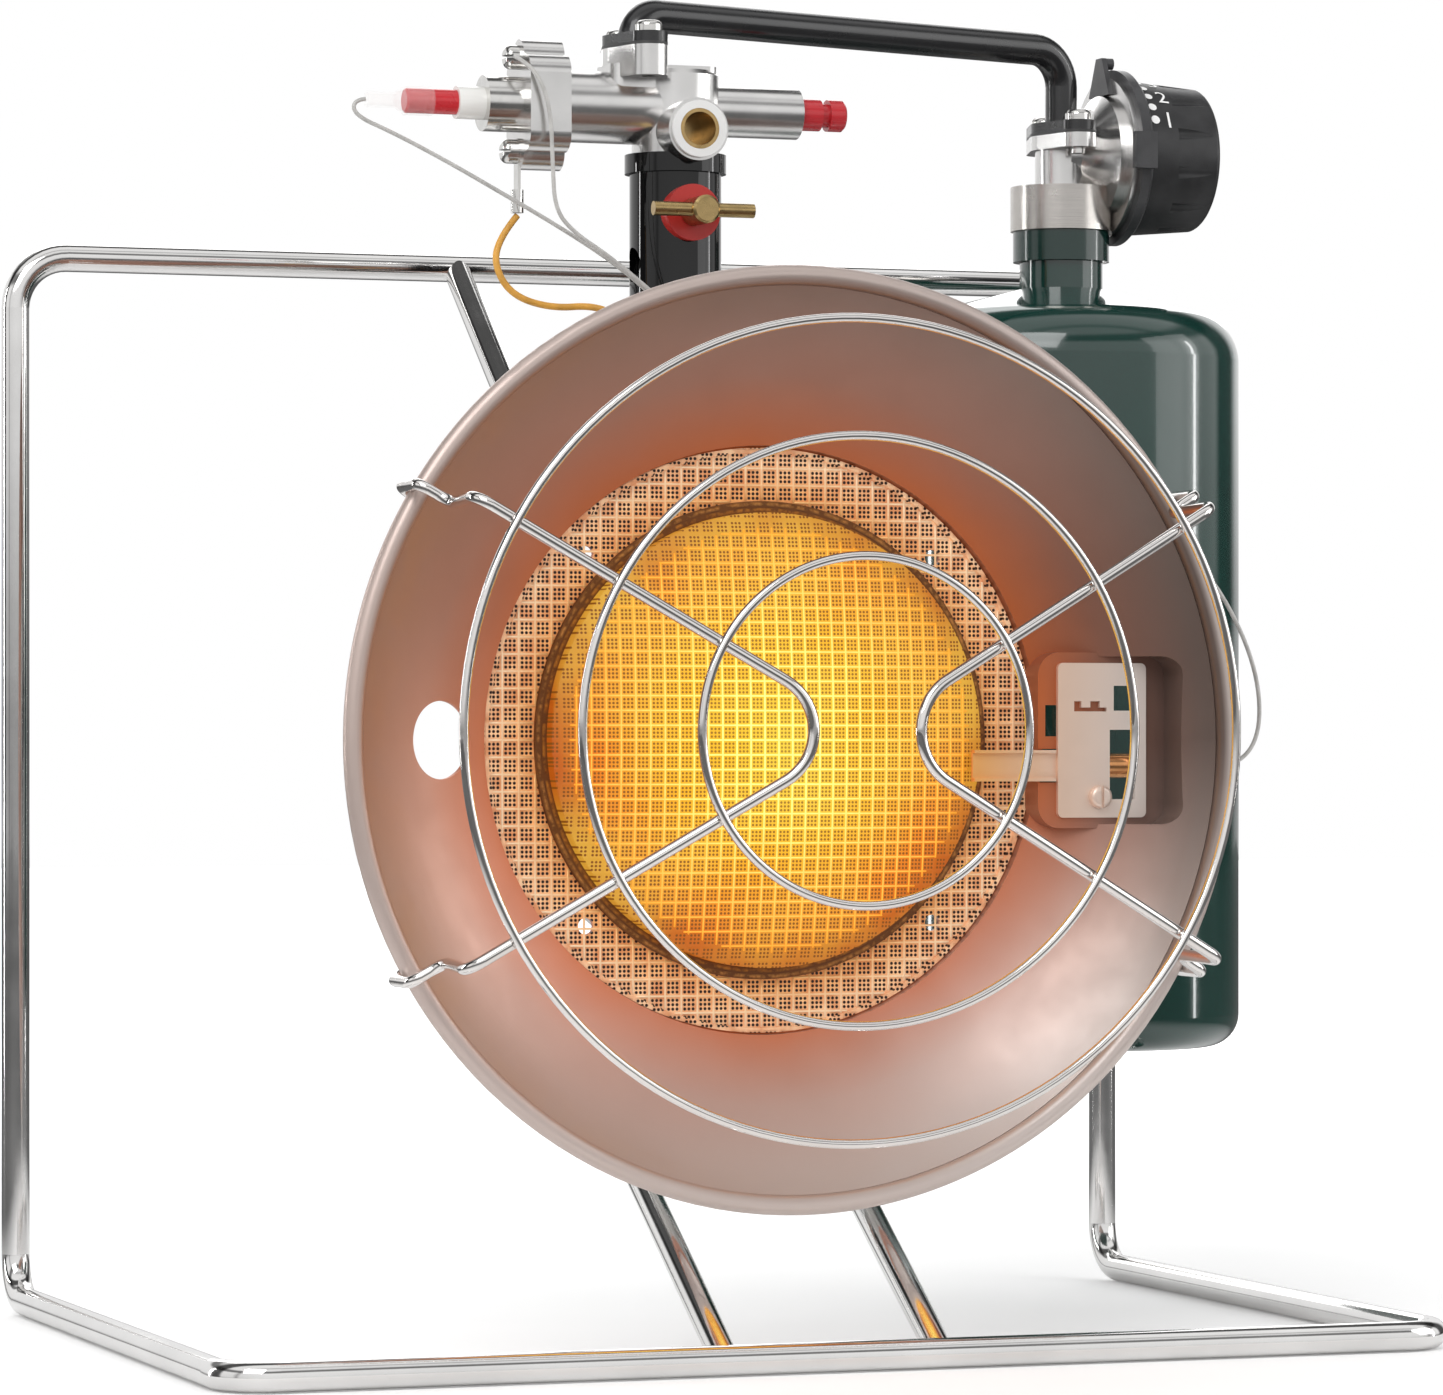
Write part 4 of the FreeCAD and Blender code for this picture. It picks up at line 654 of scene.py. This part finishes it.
FIRST_MARK = 25
DOT_COUNT = 9
DOT_STEP = 11.5
DOT_SIDES = 20
DOT_R = 0.0013
DOT_SHRINK = 0.00005
DOT_ROW = 0.0018
NUMERALS = "12345"
NUMERAL_STEP = 23
NUMERAL_ROW = 0.0060
NUMERAL_SIZE = 0.0072


def mark_radius(along):
    """The marks' distance from the knob's axis, without their lift, at one distance from the bezel."""
    return MARK_CONE_R + (MARK_CONE_END_R - MARK_CONE_R) * along / MARK_CONE_LENGTH


def wrap_on_knob(points, along, angle):
    """Lays flat (across, up) points on the knob: up runs along its axis, across runs round it."""
    placed = []
    for across, up in points:
        position = along + up
        r = mark_radius(position) + MARK_LIFT
        a = angle + across / r
        placed.append(Vector((KNOB_X + position, KNOB_AXIS.y - r * cos(a), KNOB_AXIS.z + r * sin(a))))
    return placed


def numeral_outline(text, size):
    """A numeral's flat mesh: its points and faces."""
    curve = bpy.data.curves.new("numeral", "FONT")
    curve.body = text
    curve.size = size
    curve.align_x = "CENTER"
    curve.align_y = "CENTER"
    curve.resolution_u = 4
    letter = bpy.data.objects.new("numeral", curve)
    mesh = bpy.data.meshes.new_from_object(letter)
    points = [(v.co.x, v.co.y) for v in mesh.vertices]
    faces = [tuple(p.vertices) for p in mesh.polygons]
    bpy.data.objects.remove(letter)
    bpy.data.curves.remove(curve)
    bpy.data.meshes.remove(mesh)
    return points, faces


def add_knob_marks(look):
    """Dots that shrink round the knob, with plain numerals beside them."""
    vertices, faces = [], []
    corners = [2 * pi * i / DOT_SIDES for i in range(DOT_SIDES)]
    for k in range(DOT_COUNT):
        r = DOT_R - DOT_SHRINK * k
        ring = [(r * cos(a), r * sin(a)) for a in corners]
        start = len(vertices)
        vertices += wrap_on_knob(ring, DOT_ROW, radians(FIRST_MARK + DOT_STEP * k))
        faces.append(tuple(reversed(range(start, start + DOT_SIDES))))
    for k, text in enumerate(NUMERALS):
        points, polygons = numeral_outline(text, NUMERAL_SIZE)
        turned = [(y, x) for x, y in points]
        start = len(vertices)
        vertices += wrap_on_knob(turned, NUMERAL_ROW, radians(FIRST_MARK + NUMERAL_STEP * k))
        faces += [tuple(start + i for i in polygon) for polygon in polygons]
    return mesh_piece("knob_marks", vertices, faces, "knob", look, smooth=False)


# Welds

def add_weld(vertices, faces, centre, radius, squash):
    """A small lumpy bead."""
    rows, columns = 6, 10
    start = len(vertices)
    for i in range(rows + 1):
        polar = pi * i / rows
        for k in range(columns):
            a = 2 * pi * k / columns
            r = radius * (1 + 0.08 * sin(3 * a + 5 * polar + centre.x * 900))
            offset = Vector((r * sin(polar) * cos(a), r * cos(polar) * squash, r * sin(polar) * sin(a)))
            vertices.append(centre + offset)
    for i in range(rows):
        for k in range(columns):
            a = start + i * columns + k
            b = start + i * columns + (k + 1) % columns
            faces.append((a, b, b + columns, a + columns))


# The guard, in the design's millimetres, as part.py has it
GUARD_X = -7
GUARD_Z = 157.2
RIM_Y = -88.5
APEX_FORWARD = 48.0
ARM_FALL = 0.102
ARM_ANGLE = 30.2
RING_RADII = (42.3, 71.5, 100.2)

WELD_FORWARD = 1.35
WELD_R = 0.0013
WELD_SQUASH = 0.55


def add_guard_welds(look):
    """A bead wherever a ring crosses an arm, between the middles of the two wires."""
    vertices, faces = [], []
    a = radians(ARM_ANGLE)
    for ring_r in RING_RADII:
        y = RIM_Y - APEX_FORWARD + ARM_FALL * ring_r - WELD_FORWARD
        for side in (1, -1):
            for up in (1, -1):
                centre = place(GUARD_X + side * ring_r * cos(a), y, GUARD_Z + up * ring_r * sin(a))
                add_weld(vertices, faces, centre, WELD_R, WELD_SQUASH)
    return mesh_piece("guard_welds", vertices, faces, "heater", look)


# Light and surroundings

AMBIENT = 0.6
BAND_STRENGTH = 0.95

# Each band is a direction's share from -1 to 1, and how bright it is there
UP_BANDS = ((-1.0, 0.6), (-0.02, 0.55), (0.0, 0.3), (0.06, 0.9), (0.46, 1.0), (0.54, 0.2),
            (0.66, 0.25), (0.74, 1.0), (1.0, 1.0))
BACK_BANDS = ((-1.0, 1.0), (-0.5, 0.9), (-0.42, 0.45), (-0.3, 0.95), (0.1, 1.0), (0.2, 0.09),
              (0.5, 0.09), (0.66, 1.0), (1.0, 1.0))

FLOOR_REACH = 6.0
FLOOR_DROP = 0.0002
FLOOR_DARK_START = 0.25
FLOOR_DARK_END = 0.5
FLOOR_GLOW_START = 0.3
FLOOR_GLOW_END = 1.5


def add_area(name, position, target, size, power, tall=None):
    """A square lamp, or a strip of another height."""
    data = bpy.data.lights.new(name, "AREA")
    data.energy = power
    data.size = size
    if tall is not None:
        data.shape = "RECTANGLE"
        data.size_y = tall
    lamp = bpy.data.objects.new(name, data)
    lamp.location = position
    lamp.rotation_euler = (Vector(target) - Vector(position)).to_track_quat("-Z", "Y").to_euler()
    bpy.context.scene.collection.objects.link(lamp)


def add_world():
    """White to the eye and to pale light; for gloss, a studio with bright and dark bands."""
    world = bpy.data.worlds.new("studio")
    world.use_nodes = True
    tree = world.node_tree
    tree.nodes.clear()
    link = tree.links.new
    output = tree.nodes.new("ShaderNodeOutputWorld")
    path = tree.nodes.new("ShaderNodeLightPath")
    plain = tree.nodes.new("ShaderNodeBackground")
    plain.inputs[0].default_value = (1.0, 1.0, 1.0, 1.0)
    strength = tree.nodes.new("ShaderNodeMath")
    strength.operation = "MULTIPLY_ADD"
    link(path.outputs["Is Diffuse Ray"], strength.inputs[0])
    strength.inputs[1].default_value = AMBIENT - 1.0
    strength.inputs[2].default_value = 1.0
    link(strength.outputs[0], plain.inputs[1])
    banded = tree.nodes.new("ShaderNodeBackground")
    banded.inputs[1].default_value = BAND_STRENGTH
    heading = tree.nodes.new("ShaderNodeTexCoord")
    split = tree.nodes.new("ShaderNodeSeparateXYZ")
    link(heading.outputs["Generated"], split.inputs[0])
    both = tree.nodes.new("ShaderNodeMix")
    both.data_type = "RGBA"
    both.blend_type = "MULTIPLY"
    both.inputs[0].default_value = 1.0
    link(world_bands(tree, split.outputs[2], UP_BANDS), both.inputs[6])
    link(world_bands(tree, split.outputs[1], BACK_BANDS), both.inputs[7])
    link(both.outputs[2], banded.inputs[0])
    choose = tree.nodes.new("ShaderNodeMixShader")
    link(path.outputs["Is Glossy Ray"], choose.inputs[0])
    link(plain.outputs[0], choose.inputs[1])
    link(banded.outputs[0], choose.inputs[2])
    link(choose.outputs[0], output.inputs[0])
    bpy.context.scene.world = world


def world_bands(tree, along, bands):
    """Grey levels along one direction of the sky."""
    share = tree.nodes.new("ShaderNodeMath")
    share.operation = "MULTIPLY_ADD"
    share.inputs[1].default_value = 0.5
    share.inputs[2].default_value = 0.5
    tree.links.new(along, share.inputs[0])
    ramp = tree.nodes.new("ShaderNodeValToRGB")
    while len(ramp.color_ramp.elements) < len(bands):
        ramp.color_ramp.elements.new(0.5)
    for element, (at, level) in zip(ramp.color_ramp.elements, bands):
        element.position = (at + 1) / 2
        element.color = (level, level, level, 1.0)
    tree.links.new(share.outputs[0], ramp.inputs[0])
    return ramp.outputs[0]


def add_floor():
    """A pale floor that keeps the shadows and meets the white background further out.

    Gloss sees it dark beyond the object, which gives bright rods their dark streaks.
    """
    look = Look("floor", (0.93, 0.93, 0.93), Roughness=0.8)
    path = look.add("ShaderNodeLightPath")
    outward = look.vector_math("LENGTH", look.point)
    pale = look.ramp(look.noise(3.0, 2.0), (0.3, 0.92), (0.7, 0.94))
    far = look.level(outward, FLOOR_DARK_START, FLOOR_DARK_END)
    seen_far = look.math("MULTIPLY", path.outputs["Is Glossy Ray"], far)
    look.base(look.mix(seen_far, pale, (0.08, 0.08, 0.08)))
    look.put(look.shader.inputs["Emission Color"], (1.0, 1.0, 1.0, 1.0))
    lift = look.level(outward, FLOOR_GLOW_START, FLOOR_GLOW_END, 0.16, 0.8)
    glow = look.math("MULTIPLY", path.outputs["Is Camera Ray"], lift)
    look.put(look.shader.inputs["Emission Strength"], glow)
    mesh = bpy.data.meshes.new("floor")
    signs = ((-1, -1), (1, -1), (1, 1), (-1, 1))
    corners = [(x * FLOOR_REACH, y * FLOOR_REACH, -FLOOR_DROP) for x, y in signs]
    mesh.from_pydata(corners, [], [(0, 1, 2, 3)])
    floor = bpy.data.objects.new("floor", mesh)
    mesh.materials.append(look.material)
    bpy.context.scene.collection.objects.link(floor)


def add_lights():
    add_area("key", (-0.9, -1.1, 1.3), (0, 0, 0.17), 1.0, 13)
    add_area("fill", (1.3, -0.7, 0.7), (0, 0, 0.17), 1.0, 4)
    add_area("back", (0.3, 1.2, 1.0), (0, 0, 0.2), 1.2, 6)
    add_area("left_strip", (-1.3, 0.75, 0.3), (0, 0, 0.3), 0.07, 3.5, tall=1.1)
    add_area("right_strip", (1.3, -0.33, 0.3), (0, 0, 0.3), 0.05, 1.6, tall=1.1)


# All the looks

def dress_all():
    rod = chrome_look("bright_rod")
    wire = chrome_look("guard_wire", (0.88, 0.85, 0.83))
    dress(["stand_rod", "brace_rod_left", "brace_rod_right"], rod)
    dress(["guard_wire_left", "guard_wire_right"], wire)
    dress(["guard_ring_inner", "guard_ring_middle", "guard_ring_outer"], wire)
    plated = plated_look("plated_steel", (0.62, 0.61, 0.59))
    dress(["head_bracket", "bracket_screws", "burner_cup", "button_spring"], plated)
    fixings = turned_look("fixings", (0.76, 0.75, 0.73), 2, 0.12, 0.2, 0.9)
    dress(["flange_screws_valve", "flange_screws_regulator", "knob_shaft"], fixings)
    across = turned_look("turned_across", (0.76, 0.75, 0.73), 0, 0.12, 0.2, 0.9)
    dress(["end_cap_screws", "end_collar", "lead_terminal"], across)
    dress(["reflector"], reflector_look())
    dress(["burner_screen"], screen_look())
    dress(["mesh_dome"], dome_look())
    dress(["dome_ring"], hot_steel_look())
    plate = plate_look()
    dress(["sensor_plate", "electrode_strip", "sensor_plate_screw"], plate)
    dress(["sensor_tip"], turned_look("copper", (0.80, 0.38, 0.16), 0))
    cast = cast_look("die_cast", (0.80, 0.79, 0.78))
    dress(["valve_body", "valve_end_cap", "regulator_body"], cast)
    dress(["port_ring"], gloss_look("port_face", (0.88, 0.88, 0.87), 0.25, 0.36, 0.2, 0.03))
    dress(["port_insert"], turned_look("brass_socket", (0.58, 0.40, 0.18), 1))
    dress(["wing_screw"], turned_look("brass_wing", (0.56, 0.40, 0.18), 1, 0.22, 0.36))
    dress(["gas_jet", "cylinder_valve"], turned_look("brass_turned", (0.66, 0.48, 0.24), 2))
    dress(["inlet_collar"], turned_look("collar_steel", (0.60, 0.57, 0.54), 2, 0.22, 0.28, 0.93))
    dress(["insulator"], gloss_look("white_ceramic", (0.88, 0.87, 0.84), 0.14, 0.24, 0.5, 0.03))
    red = gloss_look("red_plastic", (0.58, 0.02, 0.03), 0.22, 0.34, 0.4)
    dress(["push_button", "igniter_boot"], red)
    dress(["wing_washer"], gloss_look("red_fibre", (0.52, 0.025, 0.02), 0.3, 0.45, 0.2))
    dress(["clear_sleeve"], clear_look())
    black = gloss_look("black_pipe", (0.012, 0.012, 0.013), 0.2, 0.32, 0.35)
    dress(["gas_pipe", "pipe_flange_valve", "pipe_flange_regulator"], black)
    tube_black = gloss_look("black_enamel", (0.002, 0.002, 0.0022), 0.03, 0.07, 0.2, 0.01)
    tube_black.shader.inputs["IOR"].default_value = 1.42
    dress(["mixer_tube", "tube_collar"], tube_black)
    gasket = moulded_look("gasket", (0.03, 0.03, 0.03))
    dress(["pipe_gasket_valve", "pipe_gasket_regulator", "inlet_seal"], gasket)
    dark = moulded_look("dark_metal", (0.035, 0.035, 0.037), 0.3, 0.42, 0.1)
    dress(["dial_bezel", "dial_pointer", "dial_clips"], dark)
    dress(["control_knob"], moulded_look("black_plastic", (0.012, 0.012, 0.013), 0.34, 0.46, 0.2))
    dress(["cylinder_shell"], gloss_look("green_paint", (0.0028, 0.034, 0.026), 0.1, 0.18, 0.9, 0.03))
    dress(["cylinder_neck"], gloss_look("green_neck", (0.0022, 0.026, 0.02), 0.16, 0.26, 0.6))


def add_mesh_pieces():
    # The dome's wires glow with the burner; the screen's wires carry painted burner light and a painted
    # glow
    bright = rib_look("dome_wires", (1.0, 0.86, 0.25), (0.84, 0.33, 0.02), (0.012, 0.056), 0.66)
    cream = rib_look("screen_wires", (0.98, 0.52, 0.18), (0.98, 0.76, 0.52), (0.06, 0.072), 0.16)
    grid_wires("dome_weave", DOME_PITCH, DOME_WIRE_R, 0.0, DOME_REACH, dome_height, DOME_WIRE_LIFT,
               bright)
    grid_wires("screen_weave", SCREEN_PITCH, SCREEN_WIRE_R, SCREEN_INNER_R, SCREEN_OUTER_R,
               lambda r: 0.0, SCREEN_WIRE_LIFT, cream)


bpy.context.scene.view_settings.view_transform = "Standard"
add_camera()
add_leads()
dress_all()
add_mesh_pieces()
add_knob_marks(moulded_look("white_ink", (0.85, 0.85, 0.84), 0.4, 0.5, 0.05))
add_spring(plated_look("spring_wire", (0.66, 0.65, 0.63)))
add_guard_welds(chrome_look("weld", (0.6, 0.56, 0.52), 0.15, 0.3))
add_world()
add_floor()
add_lights()
